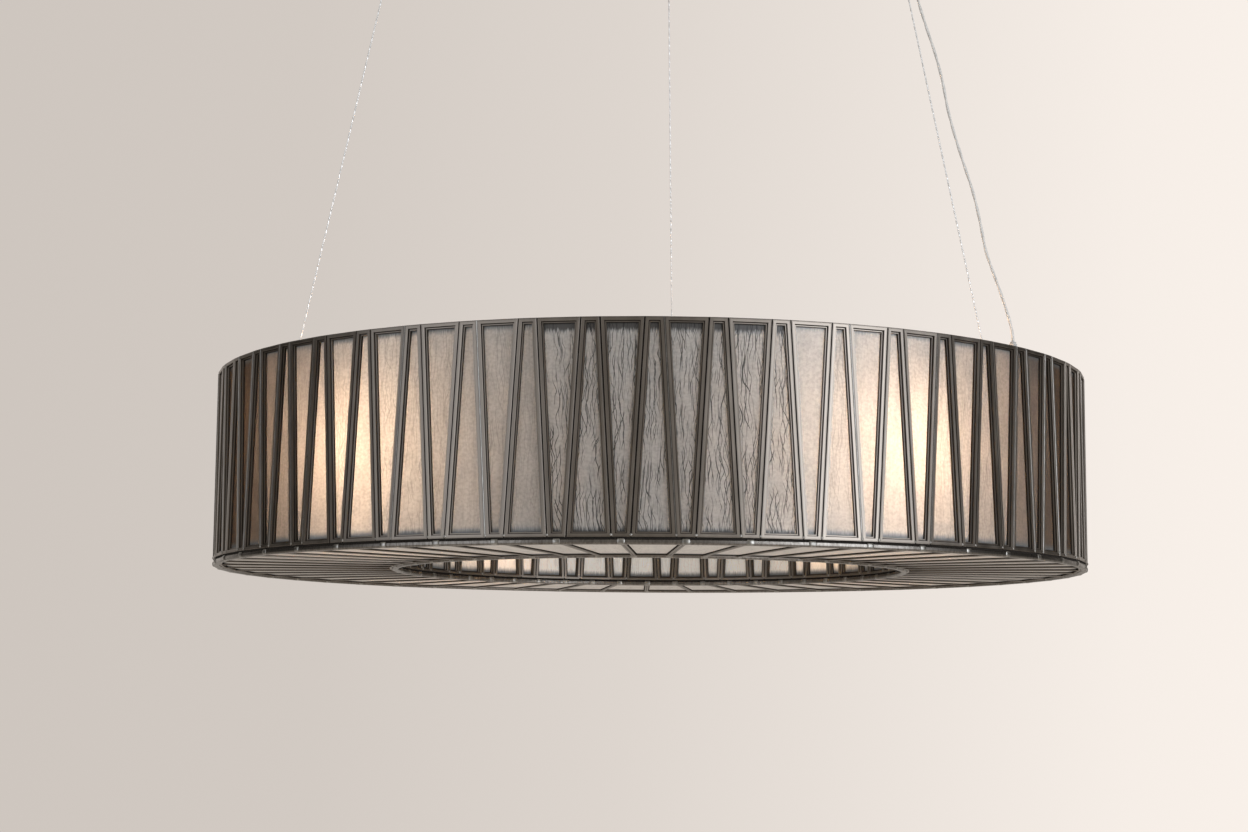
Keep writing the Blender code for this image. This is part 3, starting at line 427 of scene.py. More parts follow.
def etched_glass(name, light, deep, through_share, straight_share):
    """Acid-etched smoked glass, veined when it was rolled: a satin grey face that glows softly where
    a lamp stands behind it, with dark upright veins that wander, part and meet, a stipple a
    millimetre or two across, and a ragged dark band along its two ends that lets less light through.
    Its tint darkens or lightens each pane: at random, and on the outer and lower panes also as
    painted light and shade. Where it is seen along its face it turns to a deep brown, partly because
    more smoked glass lies in the way and partly as painted shade of the dim light at the ring's sides.
    """
    made, tree = new_material(name)
    pane = add_node(tree, FACT, out="Vector", attribute_name="pane")
    tint = add_node(tree, FACT, out="Fac", attribute_name="tint")
    veined = add_node(tree, FACT, out="Fac", attribute_name="veined")
    edge = add_node(tree, FACT, out="Fac", attribute_name="edge")
    across = add_node(tree, "ShaderNodeSeparateXYZ", [pane])
    smooth = {"interpolation_type": "SMOOTHSTEP"}
    veins = 0.0
    for spacing, sway, swing, width in VEINS:
        even = add_node(tree, MATH, [across, 1 / spacing], operation="MULTIPLY")
        drift = pattern(tree, pane, swing, Detail=1.5)
        phase = add_node(tree, MATH, [drift, sway / spacing, even], operation="MULTIPLY_ADD")
        off = add_node(tree, MATH, [phase, 0.5], operation="PINGPONG")
        line = add_node(tree, RANGE, [off, 0.3 * width, width, 1.0, 0.0], **smooth)
        present = pattern(tree, pane, VEIN_STAY, Detail=3.0)
        present = add_node(tree, RANGE, [present, 0.36, 0.56, 0.0, 1.0], **smooth)
        line = add_node(tree, MATH, [line, present], operation="MULTIPLY")
        veins = add_node(tree, MATH, [veins, line], operation="MAXIMUM")
    veins = add_node(tree, MATH, [veins, veined], operation="MULTIPLY")
    streaks = pattern(tree, pane, STREAKS, Detail=2.0)
    grain = pattern(tree, pane, STIPPLE, Detail=1.0)
    stain = pattern(tree, pane, STAINS, Detail=3.0)
    ragged = pattern(tree, pane, RAGS, Detail=2.0)
    shortest = add_node(tree, RANGE, [veined, 0.0, 1.0, 11.5, 7.5])
    longest = add_node(tree, RANGE, [veined, 0.0, 1.0, 13.0, 14.0])
    reach = add_node(tree, RANGE, [ragged, 0.3, 0.7, shortest, longest])
    near = add_node(tree, MATH, [edge, reach], operation="DIVIDE")
    off_band = add_node(tree, RANGE, [near, 0.45, 1.0, 0.0, 1.0], **smooth)
    along = add_node(tree, "ShaderNodeLayerWeight", {"Blend": 0.5}, out="Facing")
    factor = add_node(tree, RANGE, [veins, 0.0, 1.0, 1.0, VEIN_SHADE])
    # The tint is a pane's own tone at random, and on the outer and lower panes also painted light and
    # shade
    for source, low, high, dark, bright in (
        (streaks, 0.3, 0.7, 0.985, 1.015),
        (stain, 0.35, 0.6, 0.92, 1.03),
        (tint, 0.0, 1.0, 0.40, 1.25),
    ):
        part = add_node(tree, RANGE, [source, low, high, dark, bright])
        factor = add_node(tree, MATH, [factor, part], operation="MULTIPLY")
    # Painted shade: where the face is seen edge-on the tone turns to the deep colour, for the dim light
    # at the ring's sides as well as the longer way through smoked glass
    along = add_node(tree, RANGE, [along, 0.18, 0.66, 0.0, 1.0])
    tone = add_node(tree, MIX, {SHARE: along, FIRST: colour(light), SECOND: colour(deep)}, **OF_COLOURS)
    # A dark band along the pane's two ends, grey on plain panes and darker on veined ones
    band_tone = {SHARE: veined, FIRST: colour(END_BAND_GREY), SECOND: colour(END_BAND_DARK)}
    band_tone = add_node(tree, MIX, band_tone, **OF_COLOURS)
    tone = add_node(tree, MIX, {SHARE: off_band, FIRST: band_tone, SECOND: tone}, **OF_COLOURS)
    tone = add_node(tree, VECTOR, [tone, factor], operation="MULTIPLY")
    stipple = add_node(tree, RANGE, [grain, 0.32, 0.62, 0.80, 1.10])
    lit = add_node(tree, VECTOR, [tone, stipple], operation="MULTIPLY")
    height = add_node(tree, MATH, [grain, veins], operation="SUBTRACT")
    normal = add_node(tree, BUMP, {"Height": height, "Strength": 0.25, "Distance": 0.0002})
    finish = {"Base Color": tone, "Roughness": 0.42, "IOR": 1.5, "Normal": normal}
    face = add_node(tree, PRINCIPLED, finish)
    veil = add_node(tree, "ShaderNodeBsdfTranslucent", {"Color": lit, "Normal": normal})
    rough = {"Color": lit, "Roughness": 1.0, "IOR": 1.5}
    straight = add_node(tree, "ShaderNodeBsdfRefraction", rough, distribution="GGX")
    through = add_node(tree, MIX_SHADER, [straight_share, veil, straight])
    share = add_node(tree, RANGE, [off_band, 0.0, 1.0, 0.15 * through_share, through_share])
    whole = add_node(tree, MIX_SHADER, [share, face, through])
    add_node(tree, OUTPUT, [whole])
    return made


def rolled_back(name):
    """The rolled back of a pane, white and fully rough: whatever comes through it is spread, so a
    lamp behind reads as a soft glow without an outline.
    """
    made, tree = new_material(name)
    rough = {"Color": colour("#ffffff"), "Roughness": 1.0, "IOR": 1.5}
    add_node(tree, OUTPUT, [add_node(tree, "ShaderNodeBsdfRefraction", rough, distribution="GGX")])
    return made


def smooth_back(name):
    """The smooth back of a pane: a faint warm film with a thin gloss, which gives the eye a pale
    sheen when it is seen along its face and hardly anything square on.
    """
    made, tree = new_material(name)
    film = add_node(tree, "ShaderNodeBsdfTransparent", [colour("#f2f0ec")])
    gloss = add_node(tree, "ShaderNodeBsdfGlossy", {"Color": colour("#ffffff"), "Roughness": 0.08})
    share = add_node(tree, "ShaderNodeFresnel", {"IOR": 1.3})
    add_node(tree, OUTPUT, [add_node(tree, MIX_SHADER, [share, film, gloss])])
    return made


def came_metal(name, bright, dull, roughness):
    """Lead came under a grey patina: its crown is brighter than its grooves, partly from rubbing and
    patina and partly as painted shade of the grooves, each frame has its own tone, and the patina
    clouds over a few centimetres of length.
    """
    made, tree = new_material(name)
    place = add_node(tree, PLACE, out="Object")
    polish_and_shade = add_node(tree, FACT, out="Fac", attribute_name="polish_and_shade")
    tint = add_node(tree, FACT, out="Fac", attribute_name="tint")
    cloud = pattern(tree, place, (0.012, 0.012, 0.045), Detail=3.0)
    pits = pattern(tree, place, (0.0015, 0.0015, 0.008), Detail=2.0)
    tones = {SHARE: polish_and_shade, FIRST: colour(dull), SECOND: colour(bright)}
    tone = add_node(tree, MIX, tones, **OF_COLOURS)
    own = add_node(tree, RANGE, [tint, 0.0, 1.0, 0.90, 1.10])
    patina = add_node(tree, RANGE, [cloud, 0.35, 0.65, 0.92, 1.06])
    factor = add_node(tree, MATH, [own, patina], operation="MULTIPLY")
    tone = add_node(tree, VECTOR, [tone, factor], operation="MULTIPLY")
    gloss = add_node(tree, RANGE, [cloud, 0.3, 0.7, roughness - 0.04, roughness + 0.05])
    normal = add_node(tree, BUMP, {"Height": pits, "Strength": 0.15, "Distance": 0.00003})
    finish = {"Base Color": tone, "Metallic": 1.0, "Roughness": gloss, "Normal": normal}
    add_node(tree, OUTPUT, [add_node(tree, PRINCIPLED, finish)])
    return made


def metal(name, bright, dull, roughness, spots, metallic=1.0, relief=0.00003):
    """A worn metal: its bright colour fades to the dull one in spots this many millimetres wide, and
    scratches a sixth as wide run up it, so its lights are soft-edged and a little broken.
    """
    made, tree = new_material(name)
    place = add_node(tree, PLACE, out="Object")
    size = spots * MILLIMETRE
    patches = pattern(tree, place, (size, size, size * 3), Detail=4.0, Roughness=0.6)
    scratches = pattern(tree, place, (size / 6, size / 6, size * 2 / 3), Detail=2.0)
    share = add_node(tree, RANGE, [patches, 0.38, 0.66, 0.0, 1.0])
    tone = add_node(tree, MIX, {SHARE: share, FIRST: colour(bright), SECOND: colour(dull)}, **OF_COLOURS)
    gloss = add_node(tree, RANGE, [patches, 0.3, 0.7, roughness - 0.05, roughness + 0.08])
    normal = add_node(tree, BUMP, {"Height": scratches, "Strength": 0.4, "Distance": relief})
    finish = {"Base Color": tone, "Metallic": metallic, "Roughness": gloss, "Normal": normal}
    add_node(tree, OUTPUT, [add_node(tree, PRINCIPLED, finish)])
    return made


def putty(name, tone):
    """Blackened glazing putty, chalky, gritty and without any gloss: the dead black line beside the
    metal. Its black is partly painted shade: it stands in for the shade deep in seams, came steps and
    the gap above each rim bar.
    """
    made, tree = new_material(name)
    place = add_node(tree, PLACE, out="Object")
    grit = pattern(tree, place, (0.0008, 0.0008, 0.0008), Detail=2.0)
    share = add_node(tree, RANGE, [grit, 0.35, 0.65, 0.7, 1.3])
    tone = add_node(tree, VECTOR, [colour(tone)[:3], share], operation="MULTIPLY")
    add_node(tree, OUTPUT, [add_node(tree, "ShaderNodeBsdfDiffuse", [tone, 0.8])])
    return made


def plastic(name, light, dark, roughness, spots=3.0, glow=0.0):
    """A moulded plastic, a rubber or opal glass, with a slight unevenness of tone and gloss that
    keeps its broad lights from looking drawn.
    """
    made, tree = new_material(name)
    place = add_node(tree, PLACE, out="Object")
    size = spots * MILLIMETRE
    cloud = pattern(tree, place, (size, size, size), Detail=3.0)
    share = add_node(tree, RANGE, [cloud, 0.35, 0.65, 0.0, 1.0])
    tone = add_node(tree, MIX, {SHARE: share, FIRST: colour(light), SECOND: colour(dark)}, **OF_COLOURS)
    gloss = add_node(tree, RANGE, [cloud, 0.3, 0.7, roughness - 0.04, roughness + 0.06])
    normal = add_node(tree, BUMP, {"Height": cloud, "Strength": 0.2, "Distance": 0.00005})
    finish = {"Base Color": tone, "Roughness": gloss, "IOR": 1.5, "Normal": normal}
    if glow:
        finish["Emission Color"] = tone
        finish["Emission Strength"] = glow
    add_node(tree, OUTPUT, [add_node(tree, PRINCIPLED, finish)])
    return made


# Lead under its patina: a warm grey-brown, silvery where hands have rubbed its crown, and darker
# in its grooves, partly from patina and partly as painted shade
CAME = came_metal("patinated_lead_came", "#8a8278", "#49423a", 0.36)
# Fresh solder and handled bars, which catch smaller and brighter lights than the lead
SOLDER = metal("tinned_solder", "#a3a099", "#838079", 0.32, 3.0)
RIM = metal("patinated_rim_bar", "#86817a", "#645f58", 0.30, 2.2, relief=0.00001)
# The dead black line that sets each pane off from its metal: putty, and also painted shade in the
# seams, the came steps and the gap above each rim bar
PUTTY_AND_SHADE = putty("glazing_putty_and_painted_shade", "#2b2825")
# Glass: cool and smoky outside, milky and warm inside, pale and nearly shut below
# The second colour of each glass is how it looks seen edge-on, partly painted shade
GLASS_OUTER = etched_glass("etched_smoked_glass", "#cbcbc8", "#6b5c4e", 0.60, 0.65)
GLASS_INNER = etched_glass("etched_warm_glass", "#f1ede5", "#a39585", 0.25, 0.3)
GLASS_BASE = etched_glass("etched_base_glass", "#d3cec6", "#d3cec6", 0.06, 0.3)
ROLLED_BACK = rolled_back("rolled_glass_back")
SMOOTH_BACK = smooth_back("smooth_glass_back")
# Hardware: neutral zinc, near-white rope, warm nickel, yellow brass and a dull wide pewter pan
ZINC = metal("zinc_plated_steel", "#a5a4a0", "#918f8b", 0.38, 6.0)
STAINLESS = metal("drawn_stainless_wire", "#f0efec", "#d6d5d1", 0.30, 1.0, metallic=0.5)
NICKEL = metal("satin_nickel_plate", "#cfcac1", "#b3aea5", 0.30, 3.0)
BRASS = metal("turned_brass", "#c9a45c", "#a88442", 0.28, 3.0)
SPUN_PEWTER = metal("spun_satin_pewter", "#8b8881", "#74716b", 0.38, 12.0)
# Near-black holders with small sharp lights, greyish cord and matt grips, chalky boxes, and bulbs
# that glow a warm white all over
PHENOLIC = plastic("moulded_black_phenolic", "#1b1a19", "#121111", 0.30)
SHEATH = plastic("clear_grey_cord_sheath", "#c9c7c2", "#adaba6", 0.30, 2.0)
RUBBER = plastic("clear_grey_grip_rubber", "#b9b7b2", "#a3a19c", 0.45, 1.2)
NYLON = plastic("white_nylon", "#d9d7d0", "#cbc9c1", 0.48)
OPAL = plastic("lit_opal_glass", "#ffd8b4", "#ffd2a9", 0.25, 20.0, glow=54.0)


# Mesh code


def polar(radius, azimuth, height=0.0):
    """Points at (radius sin a, -radius cos a, height), for numbers or arrays that fit together."""
    radius, azimuth, height = np.broadcast_arrays(radius, azimuth, height)
    return np.stack([radius * np.sin(azimuth), -radius * np.cos(azimuth), height * 1.0], axis=-1)


def radial_frame(azimuth, radius=0.0, height=0.0):
    """A frame on a spoke of the ring: local X points outwards along it and local Z up."""
    turn = Matrix.Rotation(azimuth - math.pi / 2, 4, "Z")
    return Matrix.Translation(Vector(polar(radius, azimuth, height))) @ turn


def grid_quads(rows, columns, wrap_rows=False):
    """The cells of a grid of points numbered row by row, each row closed on its first point, and the
    last row on the first where rows wrap.
    """
    row = np.arange(rows if wrap_rows else rows - 1)[:, None]
    column = np.arange(columns)[None, :]
    below, beside = (row + 1) % rows, (column + 1) % columns
    cells = [row * columns + column, below * columns + column]
    cells += [below * columns + beside, row * columns + beside]
    return np.stack(cells, axis=-1).reshape(-1, 4)


def copies(faces, count, size):
    """The faces repeated for each of a number of bodies with the same number of points."""
    return (faces[None] + size * np.arange(count)[:, None, None]).reshape(-1, faces.shape[-1])


def placed(points, matrix):
    """Points carried by a frame: its turning part times the point, plus its place."""
    carried = np.array(matrix)
    return points @ carried[:3, :3].T + carried[:3, 3]


def closed_tubes(count, rows, sides):
    """The faces of a number of closed bodies, each of so many rings of points with a flat end at
    its first and its last ring: first all the sides, then all the ends.
    """
    ends = np.arange(sides) + sides * np.array([[0], [rows - 1]])
    return [copies(faces, count, rows * sides) for faces in (grid_quads(rows, sides), ends)]


def dress(made, body, nodes=()):
    """Ties a piece to its body and the construction nodes that it stands for."""
    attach(made, body)
    if nodes:
        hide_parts(*nodes)


def smooth_sides(mesh):
    """Smooth shading that stops at sharp edges."""
    mesh.shade_smooth()
    mesh.set_sharp_from_angle(angle=SHARP_ANGLE)


def fix_modifiers(made):
    """Replaces a piece's mesh with the one its modifiers make."""
    graph = bpy.context.evaluated_depsgraph_get()
    mesh = bpy.data.meshes.new_from_object(made.evaluated_get(graph))
    made.modifiers.clear()
    made.data = mesh
    smooth_sides(mesh)


def add_piece(name, points, faces, finishes, finish_numbers=None, facts=None):
    """A mesh piece of closed bodies; facts holds a number or a vector for each point."""
    mesh = bpy.data.meshes.new(name)
    faces = [face for run in faces for face in run.tolist()]
    mesh.from_pydata(points.reshape(-1, 3).tolist(), [], faces)
    for fact, values in (facts or {}).items():
        kind, field = ("FLOAT_VECTOR", "vector") if values.shape[-1] == 3 else ("FLOAT", "value")
        made = mesh.attributes.new(fact, kind, "POINT")
        made.data.foreach_set(field, values.astype(np.float32).ravel())
    if finish_numbers is not None:
        mesh.polygons.foreach_set("material_index", finish_numbers.astype(np.int32))
    work = bmesh.new()
    work.from_mesh(mesh)
    bmesh.ops.remove_doubles(work, verts=work.verts, dist=MERGE_DISTANCE)
    bmesh.ops.recalc_face_normals(work, faces=work.faces)
    work.to_mesh(mesh)
    work.free()
    smooth_sides(mesh)
    for finish in finishes:
        mesh.materials.append(finish)
    made = bpy.data.objects.new(name, mesh)
    bpy.context.scene.collection.objects.link(made)
    return made


def rounded(outline, reach, steps=4):
    """An outline whose inner corners are eased by parabolas that start and end `reach` from them."""
    outline = np.array(outline, float)
    share = np.linspace(0, 1, steps + 1)[:, None]
    runs = [outline[:1]]
    for before, corner, after in zip(outline, outline[1:], outline[2:]):
        ends = []
        for other in (before, after):
            length = np.linalg.norm(other - corner)
            ends.append(corner + (other - corner) * min(reach / length, 0.45))
        first, last = ends
        run = (1 - share) ** 2 * first + 2 * share * (1 - share) * corner + share**2 * last
        runs.append(run)
    return np.vstack([*runs, outline[-1:]])


def lathe(name, profile, matrix, finish, steps=48, ripple=None):
    """A profile of (radius, height) turned about the frame's Z: the point at turn t stands at
    (radius cos t, radius sin t, height), where ripple(t, radius, height) may be added to the radius.
    """
    profile = np.array(profile, float)
    turns = TURN * np.arange(steps) / steps
    radius = np.repeat(profile[:, :1], steps, axis=1)
    height = np.repeat(profile[:, 1:], steps, axis=1)
    if ripple:
        radius = radius + ripple(turns[None, :], radius, height)
    local = np.stack([radius * np.cos(turns), radius * np.sin(turns), height], axis=-1)
    hollow = profile[0, 0] > 0 and profile[-1, 0] > 0
    quads = grid_quads(len(profile), steps, wrap_rows=hollow)
    return add_piece(name, placed(local, matrix), [quads], [finish])


def tube(name, path, finish, radius, sides=12, lobes=0, lobe_depth=0.0, lay=1.0, aside=(0, 1, 0)):
    """A closed tube round a path. At turn t and distance s its radius is
    radius - depth (1 - |cos(lobes (t - TURN s / lay) / 2)|), which is a rope of so many strands.
    """
    path = np.array(path, float)
    along = np.gradient(path, axis=0)
    along /= np.linalg.norm(along, axis=1, keepdims=True)
    side = np.array(aside, float) - along * (along @ np.array(aside, float))[:, None]
    side /= np.linalg.norm(side, axis=1, keepdims=True)
    up = np.cross(along, side)
    steps = np.linalg.norm(np.diff(path, axis=0), axis=1)
    run = np.concatenate([[0.0], np.cumsum(steps)])
    turns = TURN * np.arange(sides)[None, :] / sides
    wave = np.abs(np.cos(lobes / 2 * (turns - TURN * run[:, None] / lay)))
    reach = (radius - lobe_depth * (1 - wave))[..., None]
    ring = side[:, None] * np.cos(turns)[..., None] + up[:, None] * np.sin(turns)[..., None]
    points = path[:, None] + reach * ring
    return add_piece(name, points, closed_tubes(1, len(path), sides), [finish])


def flowing(points, spacing):
    """Catmull-Rom curve through the points, sampled evenly about every `spacing`."""
    points = np.array(points, float)
    knots = np.vstack([2 * points[0] - points[1], points, 2 * points[-1] - points[-2]])
    share = np.linspace(0, 1, 16, endpoint=False)[:, None]
    runs = []
    for a, b, c, d in zip(knots, knots[1:], knots[2:], knots[3:]):
        square = (2 * a - 5 * b + 4 * c - d) / 2 * share**2
        cubic = (3 * b - a - 3 * c + d) / 2 * share**3
        runs.append(b + (c - a) / 2 * share + square + cubic)
    dense = np.vstack([*runs, knots[-2:-1]])
    run = np.concatenate([[0.0], np.cumsum(np.linalg.norm(np.diff(dense, axis=0), axis=1))])
    places = np.linspace(0, run[-1], round(run[-1] / spacing) + 1)
    return np.stack([np.interp(places, run, dense[:, k]) for k in range(3)], axis=-1)


# Panels


def seam_ends(index, pairs, wide_share, turn):
    """Azimuths of zigzag seams at the top and at the bottom of a wall."""
    pitch = TURN / pairs
    middle = turn + pitch * (index // 2)
    side = np.where(index % 2 == 0, -0.5, 0.5)
    return middle + side * pitch * wide_share, middle + side * pitch * (1 - wide_share)


def wall_corners(radius, pairs, wide_share, turn, top, bottom, facing_in=False):
    """Each panel's top left, bottom left, bottom right and top right corner, seen from its face."""
    high, low = seam_ends(np.arange(2 * pairs), pairs, wide_share, turn)
    upper, lower = polar(radius, high, RING_TOP), polar(radius, low, WALL_BOTTOM)
    shares = [(RING_TOP - level) / (RING_TOP - WALL_BOTTOM) for level in (top, bottom)]
    left = np.stack([upper + (lower - upper) * share for share in shares], axis=1)
    right = np.roll(left, -1, axis=0)
    if facing_in:
        left, right = right, left
    return np.stack([left[:, 0], left[:, 1], right[:, 1], right[:, 0]], axis=1)


def base_corners(outer, inner, height):
    """The same for the radial panels of the underside, which face down."""
    left = np.stack([polar(outer, SPOKES, height), polar(inner, SPOKES, height)], axis=1)
    right = np.roll(left, -1, axis=0)
    return np.stack([left[:, 0], left[:, 1], right[:, 1], right[:, 0]], axis=1)


def from_view(corners):
    """How far round each panel's middle stands from the photographed view, to the right."""
    middle = corners.mean(axis=1)
    return np.arctan2(middle[:, 0], -middle[:, 1]) - VIEW_TURN


def inset_steps(corners):
    """Each panel's unit normal, and the step at each corner that moves both its sides inwards by
    one: (n + m) / (1 + n.m), where n and m are the sides' inward normals.
    """
    along = np.roll(corners, -1, axis=1) - corners
    along /= np.linalg.norm(along, axis=-1, keepdims=True)
    normal = np.cross(along[:, 0], along[:, 1])
    normal /= np.linalg.norm(normal, axis=-1, keepdims=True)
    inward = np.cross(normal[:, None], along)
    before = np.roll(inward, 1, axis=1)
    return normal, (inward + before) / (1 + (inward * before).sum(axis=-1, keepdims=True))


def came_frames(name, corners, section, random, nodes):
    """A came section carried round each panel with mitred corners, each frame a closed body that is
    soldered in by hand and so stands a hair higher or lower than its neighbours.
    """
    normal, steps = inset_steps(corners)
    inset, sink, polish_and_shade = np.array(section).T
    uneven = FRAME_UNEVENNESS * random.random(corners.shape[:2])[..., None, None]
    points = corners[:, :, None] + steps[:, :, None] * inset[:, None]
    points = points - normal[:, None, None] * (sink[:, None] + uneven)
    count, sides = corners.shape[:2]
    size = sides * len(section)
    quads = copies(grid_quads(sides, len(section), wrap_rows=True), count, size)
    tint = np.repeat(random.random(count), size)[:, None]
    facts = {"tint": tint, "polish_and_shade": np.tile(polish_and_shade, count * sides)[:, None]}
    # Faces between two places with no polish_and_shade value get black putty, which is also painted
    # shade deep in the seams and steps
    putty_and_shade_faces = (polish_and_shade == 0) & (np.roll(polish_and_shade, -1) == 0)
    filled = np.tile(putty_and_shade_faces, count * sides)
    made = add_piece(name, points, [quads], [CAME, PUTTY_AND_SHADE], filled, facts)
    dress(made, "fixture", nodes)


def panes(name, corners, slack, finishes, tint, veined, nodes):
    """Glass panes as closed prisms: an etched face, a clear back and clear edges.

    A point's pane coordinates are (millimetres across, millimetres up, a number of its own pane),
    and its edge value is the millimetres to the nearer of the pane's two ends; a plain pane's
    upper end counts as farther off, so its dark end band is narrower there.
    """
    normal, steps = inset_steps(corners)
    count, rows, sides = len(corners), len(PANE_LEVEL_SHARES), 4
    size = rows * sides
    face = corners + steps * slack
    shares = np.array(PANE_LEVEL_SHARES)[:, None]
    left = face[:, 1:2] + (face[:, 0:1] - face[:, 1:2]) * shares
    right = face[:, 2:3] + (face[:, 3:4] - face[:, 2:3]) * shares
    thick = normal[:, None] * GLASS_THICKNESS
    points = np.stack([left, right, right - thick, left - thick], axis=2)
    faces = closed_tubes(count, rows, sides)
    clear = np.concatenate([np.arange(len(faces[0])) % sides > 0, np.ones(len(faces[1]))])
    rise = (face[:, 0] + face[:, 3] - face[:, 1] - face[:, 2]) / 2
    height = np.linalg.norm(rise, axis=-1, keepdims=True)
    up = (rise / height)[:, None]
    across = np.cross(up, normal[:, None])
    tall = height / MILLIMETRE
    offset = points.reshape(count, size, 3) - (face[:, 0:1] + face[:, 1:2]) / 2
    level = (offset * up).sum(-1) / MILLIMETRE + tall / 2
    own = (PANE_NUMBER_STEP * np.arange(count) + PANE_NUMBER_START)[:, None] * np.ones(size)
    spared = TOP_BAND_SPARED * (1 - veined[:, None])
    facts = {
        "pane": np.stack([(offset * across).sum(-1) / MILLIMETRE, level, own], axis=-1).reshape(-1, 3),
        "edge": np.minimum(level, tall - level + spared).reshape(-1, 1),
        "tint": np.repeat(tint, size)[:, None],
        "veined": np.repeat(veined, size)[:, None],
    }
    made = add_piece(name, points, faces, finishes, clear, facts)
    dress(made, "fixture", nodes)


def solder_beads(name, starts, ends, outward, random):
    """A thin half-round bead of solder along each seam, a little lumpy: at share s of the seam its
    size is one plus small sine waves of s.
    """
    share = np.linspace(*BEAD_REACH_SHARES, BEAD_STATIONS)
    middle = starts[:, None] + (ends - starts)[:, None] * share[:, None]
    phase = TURN * random.random((len(starts), len(BEAD_LUMPS), 1))
    lumps = 1 + sum(
        size * np.sin(TURN * waves * share + phase[:, k]) for k, (waves, size) in enumerate(BEAD_LUMPS)
    )
    along = (ends - starts) / np.linalg.norm(ends - starts, axis=-1, keepdims=True)
    across = np.cross(along, outward)
    turns = (TURN * np.arange(BEAD_SIDES) / BEAD_SIDES)[:, None]
    ring = across[:, None, None] * np.cos(turns) * BEAD_HALF_WIDTH
    ring = ring + outward[:, None, None] * np.sin(turns) * BEAD_HEIGHT
    points = middle[:, :, None] + ring * lumps[:, :, None, None]
    made = add_piece(name, points, closed_tubes(len(starts), BEAD_STATIONS, BEAD_SIDES), [SOLDER])
    dress(made, "fixture")


def solder_dots(name, centres, outward, random):
    """Blobs of solder: half ellipsoids with a pole outwards and a flat back, of uneven size."""
    count, size = len(centres), DOT_ROWS * DOT_SIDES
    lift = np.linspace(DOT_FOOT_LIFT, math.pi / 2, DOT_ROWS)[:, None]
    turns = TURN * np.arange(DOT_SIDES) / DOT_SIDES
    up = np.array([0.0, 0.0, 1.0])
    across = np.cross(outward, up)[:, None, None]
    sizes = (DOT_LEAST_SHARE + (1 - DOT_LEAST_SHARE) * 2 * random.random(count))[:, None, None, None]
    ring = across * (np.cos(lift) * np.cos(turns))[..., None] * DOT_RADIUS
    ring = ring + up * (np.cos(lift) * np.sin(turns))[..., None] * DOT_RADIUS
    ring = ring + outward[:, None, None] * (np.sin(lift) * np.ones(DOT_SIDES))[..., None] * DOT_HEIGHT
    points = centres[:, None, None] + ring * sizes
    foot = np.arange(DOT_SIDES)[None]
    faces = [copies(face, count, size) for face in (grid_quads(DOT_ROWS, DOT_SIDES), foot)]
    dress(add_piece(name, points, faces, [SOLDER]), "fixture")


def make_outer_wall(random):
    """The outer wall's cames and panes, and the solder on its seams. The panes nearest the
    photographed view are veined, and how light each is follows the photographed view from left to
    right, partly smoke and partly painted light and shade.
    """
    zigzag = (OUTER_PANEL_PAIRS, OUTER_WIDE_SHARE, OUTER_PATTERN_TURN)
    corners = wall_corners(RING_RADIUS, *zigzag, RING_TOP, WALL_BOTTOM)
    came_frames("outer_cames", corners, OUTER_CAME_SECTION, random, ["outer_frame"])
    corners = wall_corners(RING_RADIUS - CAME_DEPTH - GAP, *zigzag, BAR_TOP, WALL_BOTTOM)
    seen = np.degrees(from_view(corners))
    count = len(seen)
    inside = (seen > VEINED_DEGREES[0]) & (seen < VEINED_DEGREES[1])
    veined = np.where(inside, 1.0, PLAIN_VEIN_SHARE * random.random(count))
    # Painted light and shade: the table brightens panes by the lamps and the right softbox and darkens
    # those at the dim sides, besides their smoke
    tint = np.interp(seen, *np.array(PANE_LIGHT_AND_SMOKE_BY_DEGREES).T) + SMOKE_SPREAD * (random.random(count) - 0.5)
    names = ["outer_glass_" + sector for sector in SECTORS]
    panes("outer_panes", corners, PANE_SLACK, [GLASS_OUTER, ROLLED_BACK], tint, veined, names)
    high, low = seam_ends(np.arange(count), *zigzag)
    starts, ends = polar(RING_RADIUS, low, WALL_BOTTOM), polar(RING_RADIUS, high, RING_TOP)
    outward = polar(1.0, (high + low) / 2)
    beaded = random.random(count) < BEAD_SHARE
    solder_beads("outer_seam_solder", starts[beaded], ends[beaded], outward[beaded], random)
    dotted = random.random(count) < DOT_SHARE
    centres = starts + (ends - starts) * DOT_LEVEL_SHARE
    solder_dots("outer_solder_dots", centres[dotted], outward[dotted], random)


def make_inner_wall(random):
    """The inner wall's cames and panes, which face the middle, and a dot of solder on each seam."""
    zigzag = (INNER_PANEL_PAIRS, INNER_WIDE_SHARE, 0.0)
    corners = wall_corners(INNER_RADIUS, *zigzag, RING_TOP, WALL_BOTTOM, facing_in=True)
    came_frames("inner_cames", corners, INNER_CAME_SECTION, random, ["inner_frame"])
    radius = INNER_RADIUS + CAME_DEPTH + GAP
    corners = wall_corners(radius, *zigzag, BAR_TOP, WALL_BOTTOM, facing_in=True)
    veined = INNER_VEINED[0] + INNER_VEINED[1] * random.random(len(corners))
    tint = INNER_CLEARNESS[0] + INNER_CLEARNESS[1] * random.random(len(corners))
    names = ["inner_glass_" + sector for sector in SECTORS]
    panes("inner_panes", corners, PANE_SLACK, [GLASS_INNER, SMOOTH_BACK], tint, veined, names)
    low = seam_ends(np.arange(len(corners)), *zigzag)[1]
    centres = polar(INNER_RADIUS, low, WALL_BOTTOM + 2 * DOT_RADIUS)
    solder_dots("inner_solder_dots", centres, -polar(1.0, low), random)


